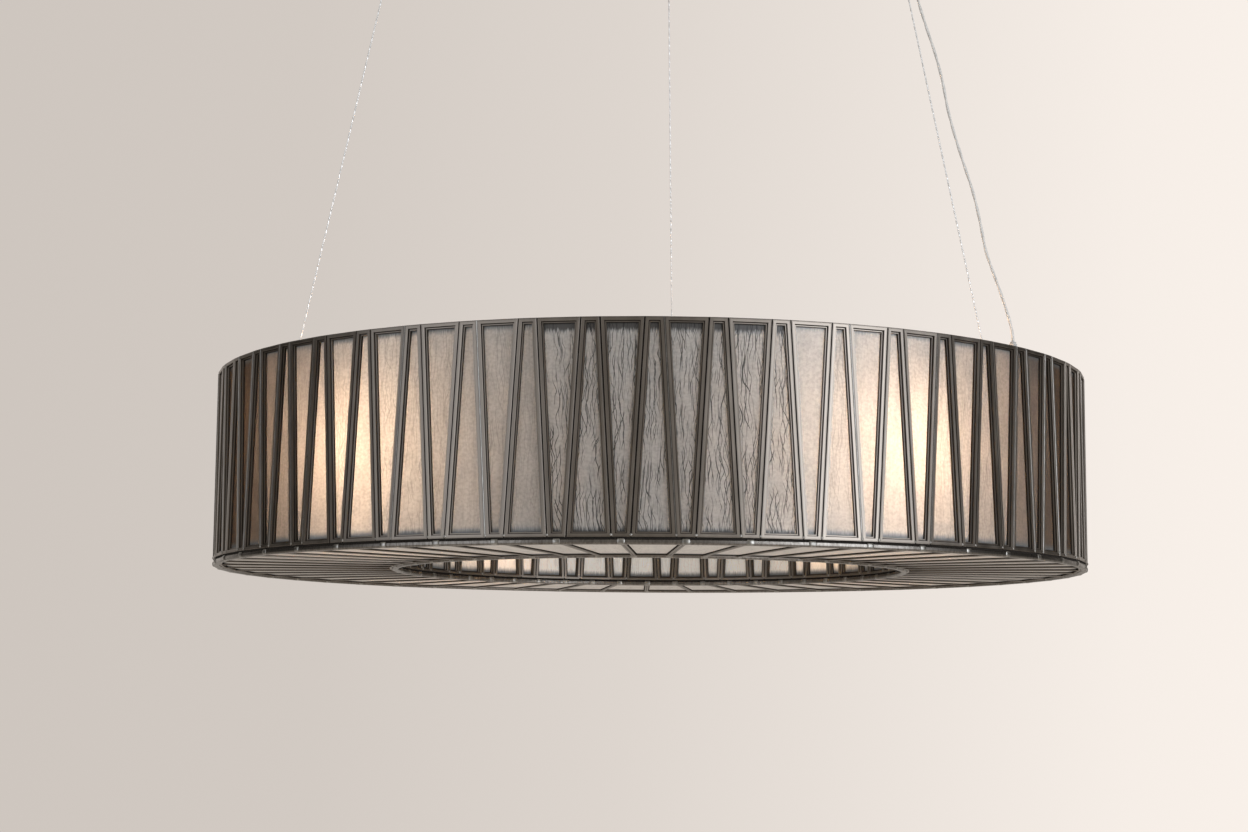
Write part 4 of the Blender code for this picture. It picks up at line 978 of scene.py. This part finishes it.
def make_underside(random):
    """The underside's radial cames, and its panes, which stop short of both walls' glass. Panes
    that lie square to the photographed view are painted lighter than those at its sides, as painted
    light.
    """
    inset = RIM_DIAMETER + GAP
    corners = base_corners(RING_RADIUS - inset, INNER_RADIUS + inset, BASE_BOTTOM)
    came_frames("bottom_cames", corners, BASE_CAME_SECTION, random, ["bottom_frame"])
    half_angle = TURN / OUTER_PANEL_PAIRS * OUTER_WIDE_SHARE / 2
    outer = (RING_RADIUS - CAME_DEPTH - GAP) * math.cos(half_angle) - GLASS_THICKNESS - GAP
    half_angle = TURN / INNER_PANEL_PAIRS * INNER_WIDE_SHARE / 2
    inner = INNER_RADIUS + CAME_DEPTH + GAP + GLASS_THICKNESS / math.cos(half_angle) + GAP
    inner = inner / math.cos(TURN / OUTER_PANEL_PAIRS / 2)
    corners = base_corners(outer, inner, BASE_BOTTOM + BASE_GLASS_SINK)
    least, painted_light_gain, spread = BASE_CLEARNESS_AND_LIGHT
    square = np.cos(from_view(corners)) ** 2
    # Painted light: the gain makes panes square to the photographed view lighter
    tint = least + painted_light_gain * square + spread * random.random(len(corners))
    names = ["bottom_glass_" + sector for sector in SECTORS]
    veined = BASE_VEINED * np.ones(len(corners))
    slack = BASE_CAME_SECTION[-1][0] + PANE_SLACK
    panes("bottom_panes", corners, slack, [GLASS_BASE, SMOOTH_BACK], tint, veined, names)


def make_rims():
    """Rim bars, a rounded section carried round the ring's corners, a dead black neck above each,
    which is painted shadow for the dark gap under the wall, and the sleeves over their joints, which
    are the same section a little grown, with tapered ends.
    """
    half, tall = RIM_DIAMETER / 2, RIM_HEIGHT
    box = [(0, 0), (half, 0), (half, tall), (-half, tall), (-half, 0), (0, 0)]
    section = rounded(box, RIM_CORNER, 3)[:-1]
    neck = (half - RIM_SHADOW_NECK_INSET) * np.array([1, 1, -1, -1])
    neck = np.stack([neck, RIM_DIAMETER * np.array([0.5, 1, 1, 0.5])], axis=-1)
    grown = (section - (0, tall / 2)) * (1 + 2 * SLEEVE_PROUD / tall)
    reach = SLEEVE_HALF_LENGTH * np.array([-1, -0.8, 0.8, 1])[:, None, None]
    shrink = np.array([0.9, 1, 1, 0.9])[:, None]
    outward, along = (way[:, None, None] for way in (polar(1.0, SPOKES), polar(1.0, SPOKES + TURN / 4)))
    for name, radius in (("outer", RING_RADIUS - half), ("inner", INNER_RADIUS + half)):
        # The neck's black finish is painted shadow of the gap between the wall and the bar
        for part, line, finish in (("bar", section, RIM), ("neck", neck, PUTTY_AND_SHADE)):
            points = polar(radius + line[:, 0], SPOKES[:, None], RING_BOTTOM + line[:, 1])
            quads = grid_quads(len(SPOKES), len(line), wrap_rows=True)
            made = add_piece(f"{name}_rim_{part}", points, [quads], [finish])
            dress(made, "fixture", [name + "_rim"] if part == "bar" else [])
        points = polar(radius, SPOKES, RING_BOTTOM + tall / 2 + GAP)[:, None, None] + along * reach
        points = points + outward * (grown[:, 0] * shrink)[..., None]
        points = points + np.array([0, 0, 1.0]) * (grown[:, 1] * shrink)[..., None]
        faces = closed_tubes(len(SPOKES), len(reach), len(grown))
        dress(add_piece(name + "_rim_sleeves", points, faces, [SOLDER]), "fixture")


# What hangs and lights the ring


def cable_radius(height):
    """The distance of a cable from the ring's axis at this height."""
    share = (CANOPY_FLOOR - height) / (CANOPY_FLOOR - BAR_TOP)
    return GRIPPER_RADIUS + (ANCHOR_RADIUS - GRIPPER_RADIUS) * share


def cable_frame(sector, height, along=0.0):
    """A frame on a cable, a distance up along it from a height: local Z runs up along it."""
    tilt = Matrix.Rotation(-HANG_LEAN, 4, "Y") @ Matrix.Translation((0.0, 0.0, along))
    return radial_frame(math.radians(SECTORS[sector]), cable_radius(height), height) @ tilt


def make_cables():
    """Wire ropes: straight from inside each ball stop to just above each gripper's ball."""
    for name in SECTORS:
        lower = cable_frame(name, CABLE_LOW, CABLE_STOP_RADIUS - STOP_BORE_DEPTH + GAP).translation
        upper = cable_frame(name, CABLE_HIGH, CABLE_TAIL).translation
        length = (upper - lower).length
        share = np.linspace(0, 1, round(length / CABLE_STEP))[:, None]
        path = np.array(lower) + (np.array(upper) - np.array(lower)) * share
        rope = {"sides": 18, "lobes": CABLE_STRANDS, "lobe_depth": CABLE_GROOVE, "lay": CABLE_LAY}
        made = tube("wire_rope_" + name, path, STAINLESS, CABLE_DIAMETER / 2, **rope)
        dress(made, "fixture", ["cable_" + name])


def make_power_cord():
    """The power cord: a curve through its route, twisted from two wires under one clear sheath."""
    path = flowing(CORD_ROUTE, CORD_STEP)
    twist = {"sides": 16, "lobes": 2, "lobe_depth": CORD_GROOVE, "lay": CORD_LAY}
    made = tube("power_cord_sheath", path, SHEATH, CORD_DIAMETER / 2, **twist)
    dress(made, "fixture", ["power_cord"])


def make_lamps():
    """Fluted phenolic holders on threaded nipples, and opal bulbs with a screw cap in each. The
    outlines are (radius, height) below the lamp bar, or below the seat of the bulb.
    """
    top, wide = BAR_THICKNESS + NIPPLE_PROUD, HOLDER_RADIUS
    low, mouth, floor = -0.044, 0.0137, -0.015
    body = [(0.0, -GAP), (0.012, -GAP), (wide, -0.009), (wide, low)]
    body = rounded([*body, (mouth, low), (mouth, floor), (0.0, floor)], 0.0012)
    nipple = [(0.0, top), (NIPPLE_RADIUS, top), (NIPPLE_RADIUS, -GAP / 2), (0.0, -GAP / 2)]
    nipple = rounded(nipple, 0.0004)
    arc = np.radians(np.linspace(34, -90, 26))
    globe = BULB_RADIUS * np.stack([np.cos(arc), np.sin(arc)], axis=-1) - (0.0, BULB_DROP)
    globe[-1, 0] = 0.0
    neck = [(0.0, -0.0262), (0.0126, -0.0262), (0.0150, -0.036), (0.0186, -0.0500), globe[0]]
    glass = np.vstack([rounded(neck, 0.006), globe[1:]])
    threads = np.linspace(-0.0052, -0.0235, 62)
    cap = [(0.0, 0.0), (0.0046, 0.0), (0.0050, -0.0005), (0.0062, -0.0012), (0.0112, -0.0036)]
    cap += [(BULB_CAP_RADIUS, height) for height in threads]
    cap += [(0.0131, -0.0245), (0.0131, -0.0259), (0.0, -0.0259)]

    def flutes(turn, radius, height):
        """Shallow grooves up the holder's outside, as the size of a cosine of its turn."""
        outside = (radius > wide - 0.0005) & (height > low + 0.004)
        return np.where(outside, -FLUTE_DEPTH * np.abs(np.cos(FLUTES / 2 * turn)), 0.0)

    def thread(turn, radius, height):
        """A screw thread on the cap's straight part: a cosine of height over pitch, plus the turn."""
        straight = (height < threads[0]) & (height > threads[-1])
        return np.where(straight, THREAD_DEPTH * np.cos(TURN * height / THREAD_PITCH + turn), 0.0)

    for lamp, degrees in LAMPS.items():
        azimuth = math.radians(degrees)
        seat = radial_frame(azimuth, LAMP_RADIUS, BAR_BOTTOM)
        hung = radial_frame(azimuth, LAMP_RADIUS, BAR_BOTTOM - BULB_SEAT_DEPTH)
        made = lathe("lampholder_body_" + lamp, body, seat, PHENOLIC, steps=96, ripple=flutes)
        dress(made, "fixture", ["lampholder_" + lamp])
        made = lathe("lampholder_nipple_" + lamp, nipple, seat, ZINC, steps=32)
        dress(made, "fixture")
        made = lathe("bulb_glass_" + lamp, glass, hung, OPAL, steps=64)
        dress(made, "bulb_" + lamp, ["bulb_" + lamp])
        made = lathe("bulb_cap_" + lamp, cap, hung, NICKEL, steps=48, ripple=thread)
        dress(made, "bulb_" + lamp)


def knurling(grooves, depth, least_radius, highest=math.inf):
    """A ripple that cuts upright grooves into what stands past a radius and below a height: half the
    depth times a cosine of the turn, less one.
    """

    def ripple(turn, radius, height):
        """How much is added to the radius there."""
        outside = (radius > least_radius) & (height < highest)
        return np.where(outside, depth / 2 * (np.cos(grooves * turn) - 1), 0.0)

    return ripple


def bored_ball(radius, bore, stem, steps):
    """The outline of a ball from the rim of its upper bore down to where it meets its stem."""
    arc = np.linspace(math.acos(bore / radius), -math.acos(stem / radius), steps)
    return radius * np.stack([np.cos(arc), np.sin(arc)], axis=-1)


def make_cable_ends():
    """A ball stop under each strut, and in the canopy floor a ball-headed gripper with its sleeve."""
    bore, stem, length = CABLE_BORE_RADIUS, GRIPPER_STEM_RADIUS, GRIPPER_LENGTH
    pit = CABLE_STOP_RADIUS - STOP_BORE_DEPTH
    stop = bored_ball(CABLE_STOP_RADIUS, bore, 0.0, 22)
    stop[-1, 0] = 0.0
    stop = [(0.0, pit), (bore, pit), *stop]
    barrel = [(stem, -0.008), (stem, -0.0085), (stem - 0.0003, -0.0090), (stem, -0.0095)]
    barrel += [(stem, 0.0008 - length), (stem - 0.0006, -length), (0.0041, -length)]
    barrel += [(0.0037, 0.0004 - length), (0.0037, 0.008 - length), (bore, 0.008 - length)]
    gripper = [*bored_ball(GRIPPER_HEAD_RADIUS, bore, stem, 18), *barrel]
    sleeve = [(bore, 0.011), (0.0030, 0.011), (0.0034, 0.0106), (0.0034, 0.003), (0.0042, 0.003)]
    sleeve += [(0.0045, 0.0026), (0.0045, 0.0004), (0.0041, 0.0), (bore, 0.0)]
    knurl = knurling(28, 0.00024, 0.0044)
    for name in SECTORS:
        made = lathe("stop_ball_" + name, stop, cable_frame(name, CABLE_LOW), ZINC, steps=40)
        dress(made, "fixture", ["cable_stop_" + name])
        made = lathe("gripper_head_" + name, gripper, cable_frame(name, CABLE_HIGH), NICKEL)
        dress(made, "fixture", ["gripper_" + name])
        lowered = cable_frame(name, CABLE_HIGH, -length - SLEEVE_TRAVEL - GAP - SLEEVE_COLLAR_HEIGHT)
        made = lathe("sleeve_collar_" + name, sleeve, lowered, BRASS, steps=112, ripple=knurl)
        dress(made, "release_sleeve_" + name, ["release_sleeve_" + name])


def cord_outlet():
    """The frame of the canopy's hole for the power cord, beside the right-hand gripper."""
    beside = radial_frame(math.radians(SECTORS["right"]), cable_radius(CANOPY_FLOOR))
    return beside @ Matrix.Translation((0.0, CORD_OUTLET_OFFSET, 0.0))


def make_cord_grips():
    """Tapered rubber grips: a collar, then rings that get smaller towards the tip, cut by the upper
    part of a cosine of the height.
    """
    bore, tip, foot, neck, tall = 0.0019, 0.0031, 0.0065, 0.0040, GRIP_HEIGHT
    levels = np.linspace(tall - 0.0008, 0.0056, 70)
    taper = tip + (foot - tip) * (tall - levels) / (tall - GRIP_FOOT_HEIGHT)
    cuts = RIB_DEPTH * np.clip(2 * np.cos(TURN * levels / RIB_PITCH) - 0.6, 0.0, 1.0)
    ribs = np.stack([np.minimum(taper, foot - 0.0002) - cuts, levels], axis=-1)
    seat = radial_frame(math.radians(SECTORS["right"]), CORD_INLET_RADIUS, BAR_TOP)
    under = Matrix.Translation((0.0, 0.0, -CANOPY_HEIGHT)) @ Matrix.Rotation(math.pi, 4, "X")
    over = cord_outlet() @ under
    ring = BAR_THICKNESS + GAP + BOX_WALL + GRIP_SPIGOT_PROUD
    for name, spigot, place in (("ring", ring, seat), ("canopy", CANOPY_WALL + GRIP_SPIGOT_PROUD, over)):
        outline = [(bore, tall), (tip - 0.0002, tall), (tip, tall - 0.0004), *ribs]
        outline += [(foot - 0.0002, 0.0052), (foot, 0.0048), (foot, 0.0006), (foot - 0.0003, GAP)]
        outline += [(neck, GAP), (neck, 0.0004 - spigot), (neck - 0.0003, -spigot), (bore, -spigot)]
        made = lathe("tapered_grip_" + name, outline, place, RUBBER, steps=40)
        dress(made, "fixture", ["cord_grip_" + name])


def lead_entry(lamp, side):
    """Points where a lead meets a lampholder squarely, a step to one side of its inner line."""
    seat = radial_frame(math.radians(LAMPS[lamp]), LAMP_RADIUS, LEAD_LEVEL)
    nearest = LEAD_SIDE_STEP - LEAD_DIAMETER / 2
    reach = math.sqrt(HOLDER_RADIUS**2 - nearest**2) + GAP
    steps = (0.0, LEAD_BEND / 8, LEAD_BEND / 4)
    return [seat @ Vector((-reach - out, side * LEAD_SIDE_STEP, 0.0)) for out in steps]


def along_inner_wall(start, end):
    """Points on the leads' circle beside the inner wall, from one azimuth to another in degrees."""
    angles = np.radians(np.linspace(start, end, round(abs(end - start) / 15) + 1))
    return list(polar(LEAD_RADIUS, angles, LEAD_LEVEL))


def make_leads():
    """Sheathed leads from the junction box to two lampholders, and on from those to the others."""
    box = radial_frame(math.radians(SECTORS["right"]), CORD_INLET_RADIUS, LEAD_LEVEL)
    holder = radial_frame(math.radians(LAMPS["front_right"]), LAMP_RADIUS, LEAD_LEVEL)
    wall, side = BOX_WIDTH / 2, HOLDER_RADIUS + GAP
    steps = ((0.0, GAP), (0.0, LEAD_BEND / 8 + GAP), (LEAD_BEND / 4, LEAD_BEND / 4 + GAP))
    left, right = (
        [box @ Vector((-inwards, way * (wall + out), 0.0)) for inwards, out in steps] for way in (-1, 1)
    )
    past_strut = box @ Vector((LAMP_RADIUS - CORD_INLET_RADIUS, wall + LEAD_BEND / 4, 0.0))
    past_box = box @ Vector((-LEAD_BEND, -wall - LEAD_BEND / 2, 0.0))
    entry = [holder @ Vector((0.0, side + out, 0.0)) for out in (LEAD_BEND / 4, LEAD_BEND / 8, 0.0)]
    bend = math.degrees(LEAD_BEND / LEAD_RADIUS)
    runs = {
        "back_right": (SECTORS["right"] + bend, LAMPS["back_right"] - bend, -1),
        "back_left": (LAMPS["back_right"] + bend, LAMPS["back_left"] - bend, -1),
        "front_left": (LAMPS["front_right"] - bend, LAMPS["front_left"] - 360 + bend, 1),
    }
    ways = {
        name: [*along_inner_wall(start, end), *reversed(lead_entry(name, facing))]
        for name, (start, end, facing) in runs.items()
    }
    routes = {
        "front_right": [*left, past_box, *entry],
        "back_right": [*right, past_strut, *ways["back_right"]],
        "back_left": [*lead_entry("back_right", 1), *ways["back_left"]],
        "front_left": [*lead_entry("front_right", -1), *ways["front_left"]],
    }
    for name, points in routes.items():
        path = flowing([tuple(point) for point in points], CORD_STEP)
        made = tube("lead_sheath_" + name, path, SHEATH, LEAD_DIAMETER / 2, sides=12, aside=(0, 0, 1))
        dress(made, "fixture", ["lead_" + name])


def make_canopy():
    """A spun pan with a rolled rim, turned from its section, with a hole for each stud, gripper and
    cord cut through its floor.
    """
    outside, wall, height = CANOPY_RADIUS, CANOPY_WALL, CANOPY_HEIGHT
    inside = outside - wall
    bend = np.linspace(0, math.pi / 2, 9)
    corner = CANOPY_CORNER * np.stack([np.cos(bend), -np.sin(bend)], axis=-1)
    inner = corner[::-1] + (inside - CANOPY_CORNER, CANOPY_FLOOR + CANOPY_CORNER)
    outer = corner + (outside - CANOPY_CORNER, CANOPY_CORNER - height)
    profile = [(0.0, CANOPY_FLOOR), (outside / 3, CANOPY_FLOOR), *inner, (inside, -LIP_DROP)]
    profile += [(inside + LIP_EASE, 0.0), (outside - LIP_EASE, 0.0), (outside, -LIP_DROP)]
    profile += [*outer, (outside / 3, -height), (0.0, -height)]
    made = lathe("spun_canopy", profile, Matrix.Identity(4), SPUN_PEWTER, steps=192)
    level = CANOPY_FLOOR - wall / 2
    holes = [(turn, cable_radius(level), GRIPPER_HOLE_RADIUS) for turn in SECTORS.values()]
    holes += [(turn, STUD_CIRCLE_RADIUS, STUD_HOLE_RADIUS) for turn in CAP_NUTS.values()]
    holes = [(radial_frame(math.radians(turn), out, level), radius) for turn, out, radius in holes]
    holes.append((cord_outlet() @ Matrix.Translation((0.0, 0.0, level)), CORD_HOLE_RADIUS))
    cutters = bmesh.new()
    for place, radius in holes:
        size = {"radius1": radius, "radius2": radius, "depth": 4 * wall}
        bmesh.ops.create_cone(cutters, cap_ends=True, segments=32, matrix=place, **size)
    mesh = bpy.data.meshes.new("canopy_holes")
    cutters.to_mesh(mesh)
    cutters.free()
    tool = bpy.data.objects.new("canopy_holes", mesh)
    bpy.context.scene.collection.objects.link(tool)
    cut = made.modifiers.new("holes", "BOOLEAN")
    cut.operation, cut.solver, cut.object = "DIFFERENCE", "EXACT", tool
    fix_modifiers(made)
    bpy.data.objects.remove(tool)
    dress(made, "fixture", ["canopy"])


def make_cap_nuts():
    """Nuts with a knurled barrel, a chamfer and a bore."""
    wide, bore, foot = 0.0080, 0.0028, -0.0120
    profile = [(0.0, -0.009), (bore, -0.009), (bore, -0.0004), (bore + 0.0004, 0.0)]
    profile += [(wide - 0.0004, 0.0), (wide, -0.0004), (wide, -0.0012)]
    profile += [(wide - 0.0002, -0.0014), (wide, -0.0017)]
    profile += [(wide, -0.0090), (wide - 0.0003, -0.0095), (0.0055, foot + 0.0001), (0.0050, foot)]
    profile += [(0.0, foot)]
    knurl = knurling(36, 0.0004, wide - 0.0001, -0.0015)
    for name, degrees in CAP_NUTS.items():
        place = radial_frame(math.radians(degrees), STUD_CIRCLE_RADIUS, -CANOPY_HEIGHT - GAP)
        made = lathe("knurled_nut_" + name, profile, place, NICKEL, steps=144, ripple=knurl)
        dress(made, "cap_nut_" + name, ["cap_nut_" + name])


def ease_edges(node, name, finish, width):
    """A copy of a construction solid, its triangles joined into faces and its edges eased."""
    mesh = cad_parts[node].data.copy()
    mesh.name = name
    mesh.materials.clear()
    mesh.materials.append(finish)
    work = bmesh.new()
    work.from_mesh(mesh)
    bmesh.ops.remove_doubles(work, verts=work.verts, dist=MERGE_DISTANCE)
    bmesh.ops.dissolve_limit(work, angle_limit=math.radians(1), verts=work.verts, edges=work.edges)
    work.to_mesh(mesh)
    work.free()
    made = bpy.data.objects.new(name, mesh)
    bpy.context.scene.collection.objects.link(made)
    eased = made.modifiers.new("eased", "BEVEL")
    eased.width, eased.segments, eased.limit_method = width, 2, "ANGLE"
    eased.angle_limit = SHARP_ANGLE
    fix_modifiers(made)
    dress(made, "fixture", [node])


def make_bars_and_boxes():
    """The sheared bars, rails and bracket, and the moulded boxes, as they are built, eased."""
    for name in SECTORS:
        ease_edges("strut_" + name, "cross_bar_" + name, ZINC, BAR_EASE)
    for name in LAMPS:
        ease_edges("lamp_bar_" + name, "lamp_cross_bar_" + name, ZINC, BAR_EASE)
    for name in ("outer", "inner"):
        ease_edges(name + "_top_rail", name + "_rail_strip", RIM, BAR_EASE)
    ease_edges("ceiling_bracket", "three_arm_bracket", ZINC, BRACKET_EASE)
    for node, name in (
        ("junction_box", "wiring_box"),
        ("junction_box_lid", "wiring_box_lid"),
        ("terminal_strip", "wiring_strip"),
        ("terminal_block", "canopy_wiring_block"),
    ):
        ease_edges(node, name, NYLON, BOX_EASE)


# View and light


def in_view(x, y, z):
    """A point given square to the photographed view, in the ring's frame."""
    return Matrix.Rotation(VIEW_TURN, 4, "Z") @ Vector((x, y, z))


def make_camera():
    """The photographed view, as it was solved from the ring's outlines."""
    data = bpy.data.cameras.new("camera")
    data.lens = FOCAL_LENGTH
    data.sensor_width = SENSOR_WIDTH
    made = bpy.data.objects.new("camera", data)
    turn = Matrix.Rotation(VIEW_TURN, 4, "Z")
    pitch = Matrix.Rotation(math.pi / 2 + CAMERA_PITCH, 4, "X")
    roll = Matrix.Rotation(CAMERA_ROLL, 4, "Z")
    made.matrix_world = turn @ Matrix.Translation(CAMERA_PLACE) @ pitch @ roll
    bpy.context.scene.collection.objects.link(made)
    bpy.context.scene.camera = made


def add_softbox(name, place, size, radiance, tone):
    """A rectangular lamp aimed at the ring. Its power is pi times its radiance times its area."""
    data = bpy.data.lights.new(name, "AREA")
    data.shape = "RECTANGLE"
    data.size, data.size_y = size
    data.energy = math.pi * radiance * size[0] * size[1]
    data.color = colour(tone)[:3]
    made = bpy.data.objects.new(name, data)
    place, aim = in_view(*place), in_view(*SOFTBOX_AIM)
    facing = (aim - place).to_track_quat("-Z", "Y").to_matrix().to_4x4()
    made.matrix_world = Matrix.Translation(place) @ facing
    bpy.context.scene.collection.objects.link(made)


def paint(ramp, stops):
    """Fills a colour ramp with (place, sRGB hex) stops."""
    points = ramp.color_ramp.elements
    while len(points) < len(stops):
        points.new(0.5)
    for point, (place, code) in zip(points, stops):
        point.position = place
        point.color = colour(code)


def make_world():
    """A pale backdrop that brightens to the right for what looks straight at it, and a plain level
    of light. Gloss and clear glass see the backdrop behind the ring and a dimmer room before it.
    """
    world = bpy.data.worlds.new("studio")
    bpy.context.scene.world = world
    world.use_nodes = True
    world.cycles.sampling_method = "NONE"
    tree = world.node_tree
    tree.nodes.clear()
    way = add_node(tree, PLACE, out="Generated")
    right = add_node(tree, VECTOR, [way, in_view(1, 0, 0)], "Value", operation="DOT_PRODUCT")
    back = add_node(tree, VECTOR, [way, in_view(0, 1, 0)], "Value", operation="DOT_PRODUCT")
    backdrop = add_node(tree, RAMP, [add_node(tree, RANGE, [right, *BACKDROP_SPAN, 0.0, 1.0])])
    paint(backdrop.node, BACKDROP_TONES)
    room = add_node(tree, RAMP, [add_node(tree, RANGE, [back, -1.0, 1.0, 0.0, 1.0])])
    paint(room.node, ROOM_TONES)
    height = add_node(tree, "ShaderNodeSeparateXYZ", [way], "Z")
    for span, tone in ((OVERHEAD_SPAN, CEILING_TONE), (UNDERFOOT_SPAN, FLOOR_TONE)):
        share = add_node(tree, RANGE, [height, *span, 0.0, 1.0])
        room = add_node(tree, MIX, {SHARE: share, FIRST: room, SECOND: colour(tone)}, **OF_COLOURS)
    glossy = add_node(tree, "ShaderNodeLightPath", out="Is Glossy Ray")
    straight = add_node(tree, "ShaderNodeLightPath", out="Is Transmission Ray")
    mirrored = add_node(tree, MATH, [glossy, straight], operation="MAXIMUM")
    tone = add_node(tree, MIX, {SHARE: mirrored, FIRST: colour(ROOM_LIGHT), SECOND: room}, **OF_COLOURS)
    seen = add_node(tree, "ShaderNodeLightPath", out="Is Camera Ray")
    tone = add_node(tree, MIX, {SHARE: seen, FIRST: tone, SECOND: backdrop}, **OF_COLOURS)
    light = add_node(tree, "ShaderNodeBackground", {"Color": tone, "Strength": 1.0})
    add_node(tree, "ShaderNodeOutputWorld", [light])


def make_stage():
    """A pale floor well below the ring."""
    size = {"vertices": 96, "radius": FLOOR_RADIUS, "fill_type": "NGON"}
    bpy.ops.mesh.primitive_circle_add(location=(0, 0, FLOOR_LEVEL), **size)
    floor = bpy.context.object
    floor.name = "floor"
    made, tree = new_material("pale_floor")
    add_node(tree, OUTPUT, [add_node(tree, "ShaderNodeBsdfDiffuse", [colour("#e2dad3")])])
    floor.data.materials.append(made)


make_camera()
make_world()
for name, box in SOFTBOXES.items():
    add_softbox(name, *box)
make_stage()
make_cables()
make_power_cord()
random = np.random.default_rng(SEED)
make_outer_wall(random)
make_inner_wall(random)
make_underside(random)
make_rims()
make_lamps()
make_cable_ends()
make_cord_grips()
make_leads()
make_canopy()
make_cap_nuts()
make_bars_and_boxes()

bpy.context.scene.view_settings.view_transform = "Standard"
